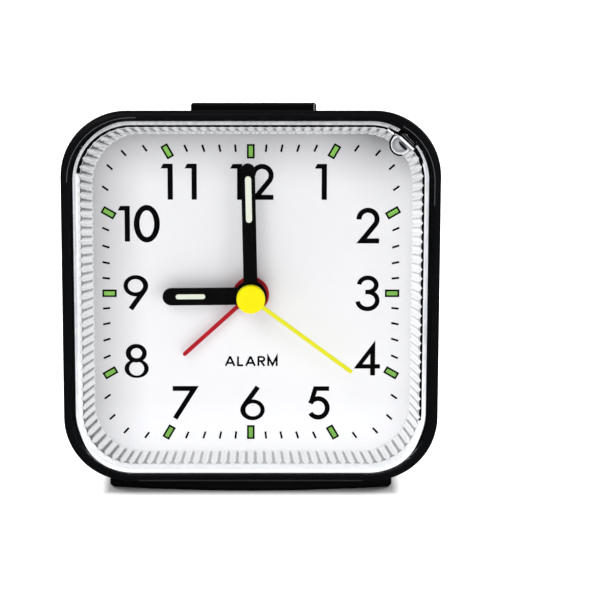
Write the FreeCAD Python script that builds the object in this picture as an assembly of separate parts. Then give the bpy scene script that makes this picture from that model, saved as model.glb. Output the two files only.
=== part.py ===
import FreeCAD, Part
import math
import os

# A battery-powered quartz alarm clock with a square black case, made as its separate pieces.
# Millimetres. +X is to the right as the dial is read, +Y runs from the dial to the back, +Z is up.
# The origin is the middle of the case's footprint, on the surface the clock stands on.

# ------------------------------------------------------------------ driving dimensions
CASE_WIDTH = 80.0            # square case, at its widest place just behind the rounded rim
RIM_ROUNDING = 1.1           # outer edge of the rim
RIM_BEVEL = 0.7              # sloping inner edge of the rim
DEPTH = 41.0                 # crystal front to knob ends
SIDE_SLOPE = math.tan(math.radians(7.0))
WALL = 2.8                   # case wall
PANEL = 2.2                  # rear panel
PLINTH = 2.6                 # plinth below the front of the case
DIAL_Z = PLINTH + CASE_WIDTH / 2

# depths along Y
CRYSTAL_FRONT = -DEPTH / 2
RIM = CRYSTAL_FRONT + 2.2
DIAL_FRONT = CRYSTAL_FRONT + 8.8
DIAL_THICKNESS = 0.8
LEDGE = DIAL_FRONT + DIAL_THICKNESS
SEAM = 14.7                  # where the back cover meets the front case
BACK = 17.7                  # rear face of the back cover
KNOB_END = DEPTH / 2

# dial window
OPENING_HALF = 37.9
ARC_CENTRE = 26.0            # centres of the corner arcs of the case
WINDOW_ARC = 25.1            # centres of the corner arcs of the opening and all that lies in it
CRYSTAL_HALF = 37.8
CRYSTAL_SKIN = 0.7
CRYSTAL_PLATE = 1.2
DIAL_HALF = 37.5
RING_HEIGHT = 4.5            # of the two rings round the dial
SPACER_HALF = 36.85          # inside of the outer ring, which holds the crystal off the dial
GUIDE_OUTER_HALF = 36.5      # light guide ring, with its sloping inside
GUIDE_TOP_HALF = 36.1
GUIDE_DIAL_HALF = 34.3
GUIDE_DIAL_CORNER = 10.2
LAMP_X, LAMP_Z = 31.6, 32.6  # night-light lamp, from the dial centre
LAMP_RADIUS = 1.4
POCKET_BORE, POCKET_R = 1.65, 2.1
LAMP_GAP_HALF = 2.45         # half length of the break in the spacer ring beside the lamp
LAMP_GAP_ROUNDING = 0.4

# hands: distances are from the dial centre, angles are clockwise from twelve
ALARM_HAND = {"reach": 19.6, "width": 0.87, "hub": 3.9, "angle": 227.6}
HOUR_HAND = {"reach": 18.8, "width": 3.7, "hub": 3.4, "angle": 269.5}
MINUTE_HAND = {"reach": 28.7, "width": 2.95, "hub": 2.5, "angle": 358.7}
SECOND_HAND = {"reach": 26.8, "width": 0.85, "hub": 1.5, "angle": 126.65}
HOUR_INLAY = {"start": 9.7, "end": 16.0, "width": 1.06}
MINUTE_INLAY = {"start": 16.1, "end": 26.0, "width": 1.3}
CAP_RADIUS = 3.05
# heights of the hands' front faces above the dial, and their thicknesses
ALARM_TOP, ALARM_THICK = 1.8, 0.5
HOUR_TOP, HOUR_THICK = 3.3, 0.6
MINUTE_TOP, MINUTE_THICK = 4.8, 0.6
SECOND_TOP, SECOND_THICK = 6.0, 0.4
CAP_TOP = 7.15

# running fits of the concentric pipes: radii
SECOND_ARBOR_R = 0.50
MINUTE_BORE_R, MINUTE_PIPE_R = 0.55, 1.00
HOUR_BORE_R, HOUR_PIPE_R = 1.05, 1.60
ALARM_BORE_R, ALARM_PIPE_R = 1.65, 2.20
BOSS_BORE_R, BOSS_R = 2.25, 3.20
DIAL_HOLE_R = 3.40
RUNNING_GAP = 0.05           # radial clearance of a pivot in its plate
PIVOT_R = 0.40
SHAFT_R = 0.80               # setting shafts
SEAT = 1.5                   # side of the square seat that carries a pressed-on wheel

# movement plates, as depths behind the dial's front face
FRONT_PLATE = (0.8, 2.0)
MIDDLE_PLATE = (7.0, 8.2)
REAR_PLATE = (17.9, 19.1)
PLATE_X = 24.5
PLATE_LOW, PLATE_HIGH = -12.8, 21.0
POSTS = [(x, z) for x in (-22.0, 22.0) for z in (-10.3, 18.5)]
POST_R = 1.6
SCREW_R = 0.6

# wheel train: tooth counts and modules
ROTOR_TEETH, INTERMEDIATE_TEETH, INTERMEDIATE_PINION = 10, 60, 12
SECOND_TEETH, SECOND_PINION = 60, 8
THIRD_TEETH, THIRD_PINION = 60, 8
MINUTE_TEETH, CANNON_TEETH = 64, 12
MOTION_TEETH, MOTION_PINION = 36, 10
HOUR_TEETH = 40
ALARM_TEETH, ALARM_SET_TEETH = 48, 16
FINE_MODULE = 0.2
THIRD_DISTANCE = 10.4
MOTION_DISTANCE = 11.0
ALARM_MODULE = 0.36
SECOND_MODULE = 2 * THIRD_DISTANCE / (THIRD_TEETH + SECOND_PINION)
MINUTE_MODULE = 2 * THIRD_DISTANCE / (MINUTE_TEETH + THIRD_PINION)
CANNON_MODULE = 2 * MOTION_DISTANCE / (MOTION_TEETH + CANNON_TEETH)
HOUR_MODULE = 2 * MOTION_DISTANCE / (HOUR_TEETH + MOTION_PINION)

# shapes of a tooth: heights in modules, half widths in tooth pitches
ADDENDUM, DEDENDUM = 0.7, 1.0
TIP_HALF, PITCH_HALF, ROOT_HALF = 0.10, 0.22, 0.28

# battery (AA) and its compartment, from the dial centre
CELL_R, CELL_LENGTH = 7.25, 50.5
CELL_Z, CELL_Y = -21.6, 8.1
TRAY_HALF, TRAY_WALL = 27.1, 0.8
TRAY_LOW, TRAY_HIGH = -29.2, -14.0
DOOR_LOW, DOOR_HIGH, DOOR_HALF = -28.7, -14.5, 26.2
DOOR_THICKNESS = 1.8
DOOR_GAP = 0.3

# snooze bar
SNOOZE_HALF, SNOOZE_START, SNOOZE_END = 13.45, -3.7, 13.1
SNOOZE_X = 0.6               # the bar sits a little to the right of the middle
SNOOZE_RISE = 1.7
SNOOZE_GAP = 0.3
STEM_Y = 11.2
DOME_HEIGHT = 3.0
SWITCH_TOP = 26.0

# rear controls
KNOB_R, KNOB_TEETH = 5.0, 24
SLIDER_X, SLIDER_Z, SLIDER_TRAVEL = 16.2, 24.0, 3.5
BUZZER_X, BUZZER_Z, BUZZER_R = -17.0, 20.0, 8.5
CASE_SCREWS = [(x, z) for x in (-30.5, 30.5) for z in (-31.0, 31.0)]
CASE_SCREW_R, CASE_SCREW_HEAD_R = 1.1, 2.3


# ------------------------------------------------------------------ helpers
def vector(x, y, z):
    """A point given from the dial centre in X and Z, and in the clock's own Y."""
    return FreeCAD.Vector(x, y, DIAL_Z + z)


def above_dial(height):
    return DIAL_FRONT - height


def behind_dial(depth):
    return DIAL_FRONT + depth


def at_angle(distance, clockwise):
    """X and Z of a point at a distance from the dial centre, clockwise from twelve."""
    turn = math.radians(clockwise)
    return distance * math.sin(turn), distance * math.cos(turn)


def case_half(y):
    return CASE_WIDTH / 2 - (y - RIM - RIM_ROUNDING) * SIDE_SLOPE


def cavity_half(y):
    return case_half(y) - WALL


def rounded_outline(half, radius, y):
    """Closed wire of a rounded square about the dial centre, in the plane at depth y."""
    inner = half - radius
    bulge = inner + radius * math.sqrt(0.5)
    edges = []
    for turn in range(4):
        def place(x, z, quarter=turn):
            for _ in range(quarter):
                x, z = z, -x
            return vector(x, y, z)
        edges.append(Part.LineSegment(place(-inner, half), place(inner, half)).toShape())
        corner = Part.Arc(place(inner, half), place(bulge, bulge), place(half, inner))
        edges.append(corner.toShape())
    return Part.Wire(edges)


def rounded_prism(half, radius, y0, y1):
    face = Part.Face(rounded_outline(half, radius, y0))
    return face.extrude(FreeCAD.Vector(0, y1 - y0, 0))


def rounded_taper(half0, radius0, y0, half1, radius1, y1):
    ends = [rounded_outline(half0, radius0, y0), rounded_outline(half1, radius1, y1)]
    return Part.makeLoft(ends, True, True)


def case_taper(inset, y0, y1):
    """A solid parallel to the case's tapering outside, inset from it."""
    half0, half1 = case_half(y0) - inset, case_half(y1) - inset
    return rounded_taper(half0, half0 - ARC_CENTRE, y0, half1, half1 - ARC_CENTRE, y1)


def box(x0, x1, y0, y1, z0, z1):
    return Part.makeBox(x1 - x0, y1 - y0, z1 - z0, vector(x0, y0, z0))


def rod(x, z, radius, y0, y1):
    return Part.makeCylinder(radius, y1 - y0, vector(x, y0, z), FreeCAD.Vector(0, 1, 0))


def tube(x, z, radius, bore, y0, y1):
    return rod(x, z, radius, y0, y1).cut(rod(x, z, bore, y0, y1))


def extruded(points, y0, y1):
    """A solid from X, Z points, between two depths."""
    corners = [vector(x, y0, z) for x, z in points]
    face = Part.Face(Part.makePolygon(corners + corners[:1]))
    return face.extrude(FreeCAD.Vector(0, y1 - y0, 0))


def side_profile(points, half_width):
    """A solid from Y, Z points, as wide as twice half_width."""
    corners = [vector(-half_width, y, z) for y, z in points]
    face = Part.Face(Part.makePolygon(corners + corners[:1]))
    return face.extrude(FreeCAD.Vector(2 * half_width, 0, 0))


def join(first, *others):
    return first.fuse(list(others)).removeSplitter()


def edges_at_depth(shape, y, tolerance=0.01):
    """Edges that lie wholly in the plane at depth y."""
    return [e for e in shape.Edges
            if abs(e.BoundBox.YMin - y) < tolerance and abs(e.BoundBox.YMax - y) < tolerance]


def turned(shape, clockwise):
    """The shape turned about the dial's axis, clockwise as the dial is read."""
    copy = shape.copy()
    copy.rotate(vector(0, 0, 0), FreeCAD.Vector(0, 1, 0), clockwise)
    return copy


def gear(teeth, module, centre, y0, y1, facing, bore=None):
    """A flat-faced gear. facing is the direction, in degrees clockwise from up, of a tooth."""
    pitch = 2 * math.pi / teeth
    pitch_r = teeth * module / 2
    tip_r, root_r = pitch_r + ADDENDUM * module, pitch_r - DEDENDUM * module
    flank = [(-ROOT_HALF, root_r), (-PITCH_HALF, pitch_r), (-TIP_HALF, tip_r),
             (TIP_HALF, tip_r), (PITCH_HALF, pitch_r), (ROOT_HALF, root_r)]
    points = []
    for tooth in range(teeth):
        middle = math.radians(facing) + tooth * pitch
        for share, radius in flank:
            angle = middle + share * pitch
            points.append((centre[0] + radius * math.sin(angle), centre[1] + radius * math.cos(angle)))
    solid = extruded(points, y0, y1)
    if bore:
        solid = solid.cut(square_bar(centre, bore, y0, y1))
    return solid


def square_bar(centre, side, y0, y1):
    x, z = centre
    return box(x - side / 2, x + side / 2, y0, y1, z - side / 2, z + side / 2)


def meshed(driver_centre, follower_centre, follower_teeth):
    """The two directions that put a driver's tooth into a follower's gap."""
    dx, dz = follower_centre[0] - driver_centre[0], follower_centre[1] - driver_centre[1]
    towards = math.degrees(math.atan2(dx, dz))
    return towards, towards + 180.0 + 180.0 / follower_teeth


# ------------------------------------------------------------------ wheel centres
CENTRE = (0.0, 0.0)
THIRD = at_angle(THIRD_DISTANCE, 235.0)
INTERMEDIATE = at_angle(FINE_MODULE * (SECOND_TEETH + INTERMEDIATE_PINION) / 2, 150.0)
ROTOR_STEP = at_angle(FINE_MODULE * (INTERMEDIATE_TEETH + ROTOR_TEETH) / 2, 120.0)
ROTOR = (INTERMEDIATE[0] + ROTOR_STEP[0], INTERMEDIATE[1] + ROTOR_STEP[1])
MOTION = at_angle(MOTION_DISTANCE, 300.0)
ALARM_SET = at_angle(ALARM_MODULE * (ALARM_TEETH + ALARM_SET_TEETH) / 2, 60.0)


# ------------------------------------------------------------------ case
def front_case():
    shell = case_taper(0.0, RIM, SEAM)
    shell = shell.makeFillet(RIM_ROUNDING, edges_at_depth(shell, RIM))
    window = rounded_prism(OPENING_HALF, OPENING_HALF - WINDOW_ARC, RIM - 1, LEDGE)
    bevel_half = OPENING_HALF + RIM_BEVEL
    bevel = rounded_taper(bevel_half, bevel_half - WINDOW_ARC, RIM,
                          OPENING_HALF, OPENING_HALF - WINDOW_ARC, RIM + RIM_BEVEL / 2)
    cavity = case_taper(WALL, LEDGE, SEAM + 1)
    shell = shell.cut([window, bevel, cavity])
    bosses = [rod(x, z, 2.6, -5.0, SEAM) for x, z in CASE_SCREWS]
    shell = join(shell, *bosses)
    holes = [rod(x, z, CASE_SCREW_R, 2.0, SEAM + 1) for x, z in CASE_SCREWS]
    slot = box(SNOOZE_X - SNOOZE_HALF - SNOOZE_GAP, SNOOZE_X + SNOOZE_HALF + SNOOZE_GAP,
               SNOOZE_START - SNOOZE_GAP, SNOOZE_END + SNOOZE_GAP, 30.0, 45.0)
    return shell.cut(holes + [slot])


def back_cover():
    cover = case_taper(0.0, SEAM, BACK)
    cover = cover.makeFillet(1.6, edges_at_depth(cover, BACK))
    cover = cover.cut(case_taper(WALL, SEAM - 1, BACK - PANEL))
    lip = case_taper(WALL + 0.1, SEAM - 2.0, SEAM + 0.5).cut(case_taper(WALL + 1.3, SEAM - 3.0, SEAM + 1))
    bosses = [rod(x, z, 2.9, SEAM - 3, SEAM) for x, z in CASE_SCREWS]
    snooze_gap = box(-17.0, 17.0, SEAM - 3, SEAM, 28.0, 38.0)
    cover = join(cover, lip.cut(bosses + [snooze_gap]))
    pillars = [rod(x, z, 2.6, SEAM, BACK - 1) for x, z in CASE_SCREWS]
    cover = join(cover, *pillars)
    cuts = [rod(x, z, CASE_SCREW_R + 0.15, SEAM - 1, BACK + 1) for x, z in CASE_SCREWS]
    cuts += [rod(x, z, CASE_SCREW_HEAD_R + 0.2, BACK - 1.2, BACK + 1) for x, z in CASE_SCREWS]
    cuts += [rod(*centre, SHAFT_R + 0.3, SEAM, BACK + 1) for centre in (MOTION, ALARM_SET)]
    cuts.append(box(-DOOR_HALF - DOOR_GAP, DOOR_HALF + DOOR_GAP, SEAM, BACK + 1,
                    DOOR_LOW - DOOR_GAP, DOOR_HIGH + DOOR_GAP))
    pin_axis = vector(-DOOR_HALF - 1.4, BACK - DOOR_THICKNESS / 2, DOOR_LOW + DOOR_THICKNESS / 2)
    cuts.append(Part.makeCylinder(0.65, 2 * DOOR_HALF + 2.8, pin_axis, FreeCAD.Vector(1, 0, 0)))
    cuts.append(box(-5.0, 5.0, BACK - 0.9, BACK + 1, DOOR_HIGH, DOOR_HIGH + 1.6))
    cuts.append(box(SLIDER_X - 2.3, SLIDER_X + SLIDER_TRAVEL + 2.3, SEAM, BACK + 1,
                    SLIDER_Z - 1.5, SLIDER_Z + 1.5))
    for ring, count in ((0.0, 1), (3.0, 6), (5.8, 12)):
        for hole in range(count):
            x, z = at_angle(ring, 360.0 * hole / count)
            cuts.append(rod(BUZZER_X + x, BUZZER_Z + z, 0.7, SEAM, BACK + 1))
    return cover.cut(cuts)


def plinth_plan(inset):
    """Closed wire of the plinth seen from above, its front edge bowed outwards."""
    half, front, bow, rear = 30.55 - inset, -13.2 + inset, 3.3, 15.0 - inset
    points = [(-half, rear), (-half, front), (0.0, front - bow), (half, front), (half, rear)]
    left_rear, left, middle, right, right_rear = [FreeCAD.Vector(x, y, 0) for x, y in points]
    edges = [Part.LineSegment(left_rear, left).toShape(), Part.Arc(left, middle, right).toShape(),
             Part.LineSegment(right, right_rear).toShape(),
             Part.LineSegment(right_rear, left_rear).toShape()]
    return Part.Wire(edges)


def base_plinth():
    block = Part.Face(plinth_plan(0.0)).extrude(FreeCAD.Vector(0, 0, 9.0))
    upright = [e for e in block.Edges if e.BoundBox.ZLength > 8.0]
    block = block.makeFillet(1.5, upright)
    block = block.makeFillet(0.8, [e for e in block.Edges if e.BoundBox.ZMax < 0.01])
    return block.cut(case_taper(0.0, RIM, BACK))


def dial():
    plate = rounded_prism(DIAL_HALF, DIAL_HALF - WINDOW_ARC, DIAL_FRONT, LEDGE)
    leads = [square_bar((LAMP_X + dx, LAMP_Z), 0.9, DIAL_FRONT - 1, LEDGE + 1) for dx in (-0.64, 0.64)]
    return plate.cut([rod(0, 0, DIAL_HOLE_R, DIAL_FRONT - 1, LEDGE + 1)] + leads)


def crystal():
    """Clear cover: a front plate with short walls that stand on the spacer ring."""
    foot = above_dial(RING_HEIGHT)
    outside = rounded_prism(CRYSTAL_HALF, CRYSTAL_HALF - WINDOW_ARC, CRYSTAL_FRONT, foot)
    outside = outside.makeFillet(0.9, edges_at_depth(outside, CRYSTAL_FRONT))
    inner_half = CRYSTAL_HALF - CRYSTAL_SKIN
    inside = rounded_prism(inner_half, inner_half - WINDOW_ARC, CRYSTAL_FRONT + CRYSTAL_PLATE, foot + 1)
    return outside.cut(inside)


def lamp_bore(radius):
    return rod(LAMP_X, LAMP_Z, radius, above_dial(RING_HEIGHT) - 1, DIAL_FRONT + 1)


def spacer_ring():
    """Outer white ring between the dial and the crystal, broken beside the lamp."""
    top = above_dial(RING_HEIGHT)
    outside = rounded_prism(CRYSTAL_HALF, CRYSTAL_HALF - WINDOW_ARC, top, DIAL_FRONT)
    inside = rounded_prism(SPACER_HALF, SPACER_HALF - WINDOW_ARC, top - 1, DIAL_FRONT + 1)
    corner = CASE_WIDTH / 2 * math.sqrt(2)
    gap = box(-LAMP_GAP_HALF, LAMP_GAP_HALF, top - 1, DIAL_FRONT + 1, corner / 2, corner)
    ring = outside.cut([inside, turned(gap, math.degrees(math.atan2(LAMP_X, LAMP_Z)))])
    lamp_axis = vector(LAMP_X, DIAL_FRONT, LAMP_Z)
    ends = [e for e in ring.Edges if e.BoundBox.YLength > RING_HEIGHT - 0.01
            and math.hypot(e.CenterOfMass.x - lamp_axis.x, e.CenterOfMass.z - lamp_axis.z) < 4.0]
    return ring.makeFillet(LAMP_GAP_ROUNDING, ends)


def light_guide_ring():
    """Ring whose inside slopes down to the dial, with a round pocket for the lamp."""
    top = above_dial(RING_HEIGHT)
    body = rounded_prism(GUIDE_OUTER_HALF, GUIDE_OUTER_HALF - WINDOW_ARC, top, DIAL_FRONT)
    bowl = rounded_taper(GUIDE_TOP_HALF, GUIDE_TOP_HALF - WINDOW_ARC, top,
                         GUIDE_DIAL_HALF, GUIDE_DIAL_CORNER, DIAL_FRONT)
    pocket_wall = rod(LAMP_X, LAMP_Z, POCKET_R, top, DIAL_FRONT)
    pocket_wall = pocket_wall.common(
        rounded_prism(GUIDE_OUTER_HALF, GUIDE_OUTER_HALF - WINDOW_ARC, top, DIAL_FRONT))
    return join(body.cut(bowl), pocket_wall).cut(lamp_bore(POCKET_BORE))


def night_lamp():
    flange = rod(LAMP_X, LAMP_Z, LAMP_RADIUS + 0.2, above_dial(0.8), DIAL_FRONT)
    body = rod(LAMP_X, LAMP_Z, LAMP_RADIUS, above_dial(2.6), above_dial(0.8))
    dome = Part.makeSphere(LAMP_RADIUS, vector(LAMP_X, above_dial(2.6), LAMP_Z))
    leads = [square_bar((LAMP_X + dx, LAMP_Z), 0.5, DIAL_FRONT, behind_dial(5.0)) for dx in (-0.64, 0.64)]
    return join(flange, body, dome, *leads)


# ------------------------------------------------------------------ hands
def bar_hand(hand, bore, top, thickness):
    """A hand pointing to twelve: a bar with a round tip on a round hub."""
    half, straight = hand["width"] / 2, hand["reach"] - hand["width"] / 2
    front, back = above_dial(top), above_dial(top - thickness)
    blade = box(-half, half, front, back, 0.0, straight)
    return join(blade, rod(0, straight, half, front, back), rod(0, 0, hand["hub"], front, back)).cut(
        rod(0, 0, bore, front - 1, back + 1))


def inlay(slot, top, thickness):
    half = slot["width"] / 2
    start, end = slot["start"] + half, slot["end"] - half
    front, back = above_dial(top), above_dial(top - thickness)
    return join(box(-half, half, front, back, start, end), rod(0, start, half, front, back),
                rod(0, end, half, front, back))


def alarm_hand():
    return turned(bar_hand(ALARM_HAND, ALARM_PIPE_R, ALARM_TOP, ALARM_THICK), ALARM_HAND["angle"])


def hour_hand():
    blank = bar_hand(HOUR_HAND, HOUR_PIPE_R, HOUR_TOP, HOUR_THICK)
    return turned(blank.cut(inlay(HOUR_INLAY, HOUR_TOP, HOUR_THICK)), HOUR_HAND["angle"])


def hour_inlay():
    return turned(inlay(HOUR_INLAY, HOUR_TOP, HOUR_THICK), HOUR_HAND["angle"])


def minute_hand():
    blank = bar_hand(MINUTE_HAND, MINUTE_PIPE_R, MINUTE_TOP, MINUTE_THICK)
    return turned(blank.cut(inlay(MINUTE_INLAY, MINUTE_TOP, MINUTE_THICK)), MINUTE_HAND["angle"])


def minute_inlay():
    return turned(inlay(MINUTE_INLAY, MINUTE_TOP, MINUTE_THICK), MINUTE_HAND["angle"])


def second_hand():
    front, back = above_dial(SECOND_TOP), above_dial(SECOND_TOP - SECOND_THICK)
    half = SECOND_HAND["width"] / 2
    blade = box(-half, half, front, back, 0.0, SECOND_HAND["reach"])
    blank = join(blade, rod(0, 0, SECOND_HAND["hub"], front, back))
    return turned(blank.cut(rod(0, 0, SECOND_ARBOR_R, front - 1, back + 1)), SECOND_HAND["angle"])


def second_hand_cap():
    cap = rod(0, 0, CAP_RADIUS, above_dial(CAP_TOP), above_dial(SECOND_TOP))
    return cap.makeFillet(0.3, edges_at_depth(cap, above_dial(CAP_TOP)))


# ------------------------------------------------------------------ movement plates
def plate(depths, holes):
    y0, y1 = behind_dial(depths[0]), behind_dial(depths[1])
    sheet = box(-PLATE_X, PLATE_X, y0, y1, PLATE_LOW, PLATE_HIGH)
    sheet = sheet.makeFillet(2.0, [e for e in sheet.Edges if e.BoundBox.YLength > y1 - y0 - 0.01])
    holes = holes + [(x, z, SCREW_R) for x, z in POSTS]
    return sheet.cut([rod(x, z, radius, y0 - 1, y1 + 1) for x, z, radius in holes])


def pivot_holes(*centres):
    return [(x, z, PIVOT_R + RUNNING_GAP) for x, z in centres]


def front_plate():
    sheet = plate(FRONT_PLATE, pivot_holes(MOTION, ALARM_SET))
    boss = rod(0, 0, BOSS_R, above_dial(0.6), behind_dial(FRONT_PLATE[1]))
    return join(sheet, boss).cut(rod(0, 0, BOSS_BORE_R, above_dial(2), behind_dial(3)))


def middle_plate():
    shafts = [(*MOTION, SHAFT_R + RUNNING_GAP), (*ALARM_SET, SHAFT_R + RUNNING_GAP)]
    centre = [(*CENTRE, MINUTE_PIPE_R + RUNNING_GAP)]
    return plate(MIDDLE_PLATE, shafts + centre + pivot_holes(THIRD, ROTOR))


def rear_plate():
    """The rear plate, with the fixed pin that carries the intermediate wheel."""
    shafts = [(*MOTION, SHAFT_R + RUNNING_GAP), (*ALARM_SET, SHAFT_R + RUNNING_GAP)]
    sheet = plate(REAR_PLATE, shafts + pivot_holes(CENTRE, THIRD, ROTOR))
    return join(sheet, rod(*INTERMEDIATE, SECOND_ARBOR_R, behind_dial(12.0), behind_dial(REAR_PLATE[1])))


def plate_posts():
    """Spacers between the plates: one short and one long at each corner."""
    posts = []
    for x, z in POSTS:
        for start, end in ((FRONT_PLATE[1], MIDDLE_PLATE[0]), (MIDDLE_PLATE[1], REAR_PLATE[0])):
            posts.append(tube(x, z, POST_R, SCREW_R, behind_dial(start), behind_dial(end)))
    return Part.makeCompound(posts)


def cross_head(x, z, radius, shank_r, y_under, y_top, y_tip):
    """A screw along Y with a cross recess: y_under is below its head, y_tip its far end."""
    screw = join(rod(x, z, radius, y_under, y_top), rod(x, z, shank_r, y_tip, y_under))
    arm, slot = radius * 0.6, radius * 0.14
    recess = [box(x - arm, x + arm, y_top - 0.5, y_top + 1, z - slot, z + slot),
              box(x - slot, x + slot, y_top - 0.5, y_top + 1, z - arm, z + arm)]
    return screw.cut(recess)


def movement_screws():
    under = behind_dial(REAR_PLATE[1])
    tip = behind_dial(FRONT_PLATE[0])
    return Part.makeCompound([cross_head(x, z, 1.6, SCREW_R, under, under + 0.9, tip) for x, z in POSTS])


def case_screws():
    under = BACK - 1.2
    return Part.makeCompound([cross_head(x, z, CASE_SCREW_HEAD_R, CASE_SCREW_R, under, BACK, 4.0)
                              for x, z in CASE_SCREWS])


# ------------------------------------------------------------------ wheel train
def stepped_arbor(centre, steps):
    """A turned shaft: each step is its radius, and its start and end depths behind the dial."""
    parts = [rod(*centre, radius, behind_dial(start), behind_dial(end)) for radius, start, end in steps]
    return parts[0] if len(parts) == 1 else join(*parts)


def alarm_wheel():
    facing, _ = meshed(CENTRE, ALARM_SET, ALARM_SET_TEETH)
    wheel = gear(ALARM_TEETH, ALARM_MODULE, CENTRE, behind_dial(2.3), behind_dial(3.3), facing)
    pipe = rod(0, 0, ALARM_PIPE_R, above_dial(ALARM_TOP), behind_dial(3.3))
    return join(wheel, pipe).cut(rod(0, 0, ALARM_BORE_R, above_dial(4), behind_dial(5)))


def alarm_set_shaft():
    _, facing = meshed(CENTRE, ALARM_SET, ALARM_SET_TEETH)
    pinion = gear(ALARM_SET_TEETH, ALARM_MODULE, ALARM_SET, behind_dial(2.2), behind_dial(3.4), facing)
    steps = [(SHAFT_R, 3.4, KNOB_END - 1.0 - DIAL_FRONT), (PIVOT_R, 0.9, 3.4)]
    return join(pinion, stepped_arbor(ALARM_SET, steps))


def hour_wheel():
    _, facing = meshed(MOTION, CENTRE, HOUR_TEETH)
    wheel = gear(HOUR_TEETH, HOUR_MODULE, CENTRE, behind_dial(3.7), behind_dial(4.7), facing)
    pipe = rod(0, 0, HOUR_PIPE_R, above_dial(HOUR_TOP), behind_dial(4.7))
    return join(wheel, pipe).cut(rod(0, 0, HOUR_BORE_R, above_dial(5), behind_dial(6)))


def cannon_pinion():
    facing, _ = meshed(CENTRE, MOTION, MOTION_TEETH)
    pinion = gear(CANNON_TEETH, CANNON_MODULE, CENTRE, behind_dial(5.0), behind_dial(6.4), facing)
    pipe = rod(0, 0, MINUTE_PIPE_R, above_dial(MINUTE_TOP), behind_dial(8.6))
    seat = square_bar(CENTRE, SEAT, behind_dial(8.6), behind_dial(9.4))
    return join(pinion, pipe, seat).cut(rod(0, 0, MINUTE_BORE_R, above_dial(6), behind_dial(11)))


def minute_wheel():
    facing, _ = meshed(CENTRE, THIRD, THIRD_PINION)
    return gear(MINUTE_TEETH, MINUTE_MODULE, CENTRE, behind_dial(8.6), behind_dial(9.4), facing, SEAT)


def motion_shaft():
    """Setting shaft of the hands: front pivot, pinion for the hour wheel, seat and long shaft."""
    facing, _ = meshed(MOTION, CENTRE, HOUR_TEETH)
    pinion = gear(MOTION_PINION, HOUR_MODULE, MOTION, behind_dial(3.6), behind_dial(4.9), facing)
    seat = square_bar(MOTION, SEAT, behind_dial(4.9), behind_dial(5.9))
    steps = [(SHAFT_R, 5.9, KNOB_END - 1.0 - DIAL_FRONT), (PIVOT_R, 0.9, 4.9)]
    return join(pinion, seat, stepped_arbor(MOTION, steps))


def motion_wheel():
    _, facing = meshed(CENTRE, MOTION, MOTION_TEETH)
    return gear(MOTION_TEETH, CANNON_MODULE, MOTION, behind_dial(5.1), behind_dial(5.9), facing, SEAT)


def third_arbor():
    _, facing = meshed(CENTRE, THIRD, THIRD_PINION)
    pinion = gear(THIRD_PINION, MINUTE_MODULE, THIRD, behind_dial(8.5), behind_dial(10.2), facing)
    seat = square_bar(THIRD, SEAT, behind_dial(10.2), behind_dial(11.4))
    steps = [(0.6, 11.4, 17.7), (PIVOT_R, 17.7, 18.9)]
    front = rod(*THIRD, PIVOT_R, behind_dial(7.2), behind_dial(8.5))
    return join(pinion, seat, stepped_arbor(THIRD, steps), front)


def third_wheel():
    _, facing = meshed(CENTRE, THIRD, THIRD_TEETH)
    return gear(THIRD_TEETH, SECOND_MODULE, THIRD, behind_dial(10.6), behind_dial(11.4), facing, SEAT)


def second_arbor():
    facing, _ = meshed(CENTRE, THIRD, THIRD_TEETH)
    pinion = gear(SECOND_PINION, SECOND_MODULE, CENTRE, behind_dial(10.4), behind_dial(11.8), facing)
    seat = square_bar(CENTRE, SEAT, behind_dial(11.8), behind_dial(13.2))
    front = rod(0, 0, SECOND_ARBOR_R, above_dial(SECOND_TOP), behind_dial(10.4))
    rear = stepped_arbor(CENTRE, [(SECOND_ARBOR_R, 13.2, 17.7), (PIVOT_R, 17.7, 18.9)])
    return join(pinion, seat, front, rear)


def second_wheel():
    facing, _ = meshed(CENTRE, INTERMEDIATE, INTERMEDIATE_PINION)
    return gear(SECOND_TEETH, FINE_MODULE, CENTRE, behind_dial(12.4), behind_dial(13.2), facing, SEAT)


def intermediate_hub():
    """Hollow hub with a pinion, running on the rear plate's pin."""
    _, facing = meshed(CENTRE, INTERMEDIATE, INTERMEDIATE_PINION)
    y0, y1 = behind_dial(12.2), behind_dial(13.6)
    pinion = gear(INTERMEDIATE_PINION, FINE_MODULE, INTERMEDIATE, y0, y1, facing)
    seat = square_bar(INTERMEDIATE, SEAT, behind_dial(13.6), behind_dial(15.0))
    sleeve = rod(*INTERMEDIATE, 0.9, behind_dial(15.0), behind_dial(17.6))
    return join(pinion, seat, sleeve).cut(rod(*INTERMEDIATE, MINUTE_BORE_R, behind_dial(10), behind_dial(20)))


def intermediate_wheel():
    facing, _ = meshed(INTERMEDIATE, ROTOR, ROTOR_TEETH)
    y0, y1 = behind_dial(14.2), behind_dial(15.0)
    return gear(INTERMEDIATE_TEETH, FINE_MODULE, INTERMEDIATE, y0, y1, facing, SEAT)


def rotor_arbor():
    _, facing = meshed(INTERMEDIATE, ROTOR, ROTOR_TEETH)
    pinion = gear(ROTOR_TEETH, FINE_MODULE, ROTOR, behind_dial(14.0), behind_dial(15.2), facing)
    steps = [(0.45, 8.4, 14.0), (0.3, 7.2, 8.4)]
    rear = stepped_arbor(ROTOR, [(0.45, 15.2, 17.7), (0.3, 17.7, 18.9)])
    return join(pinion, stepped_arbor(ROTOR, steps), rear)


def rotor_magnet():
    return tube(*ROTOR, 2.0, 0.45, behind_dial(10.7), behind_dial(12.3))


# ------------------------------------------------------------------ motor and electronics
COIL_X = 21.0
COIL_LOW, COIL_HIGH = -5.5, 8.0
STATOR = (10.9, 12.1)


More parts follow.
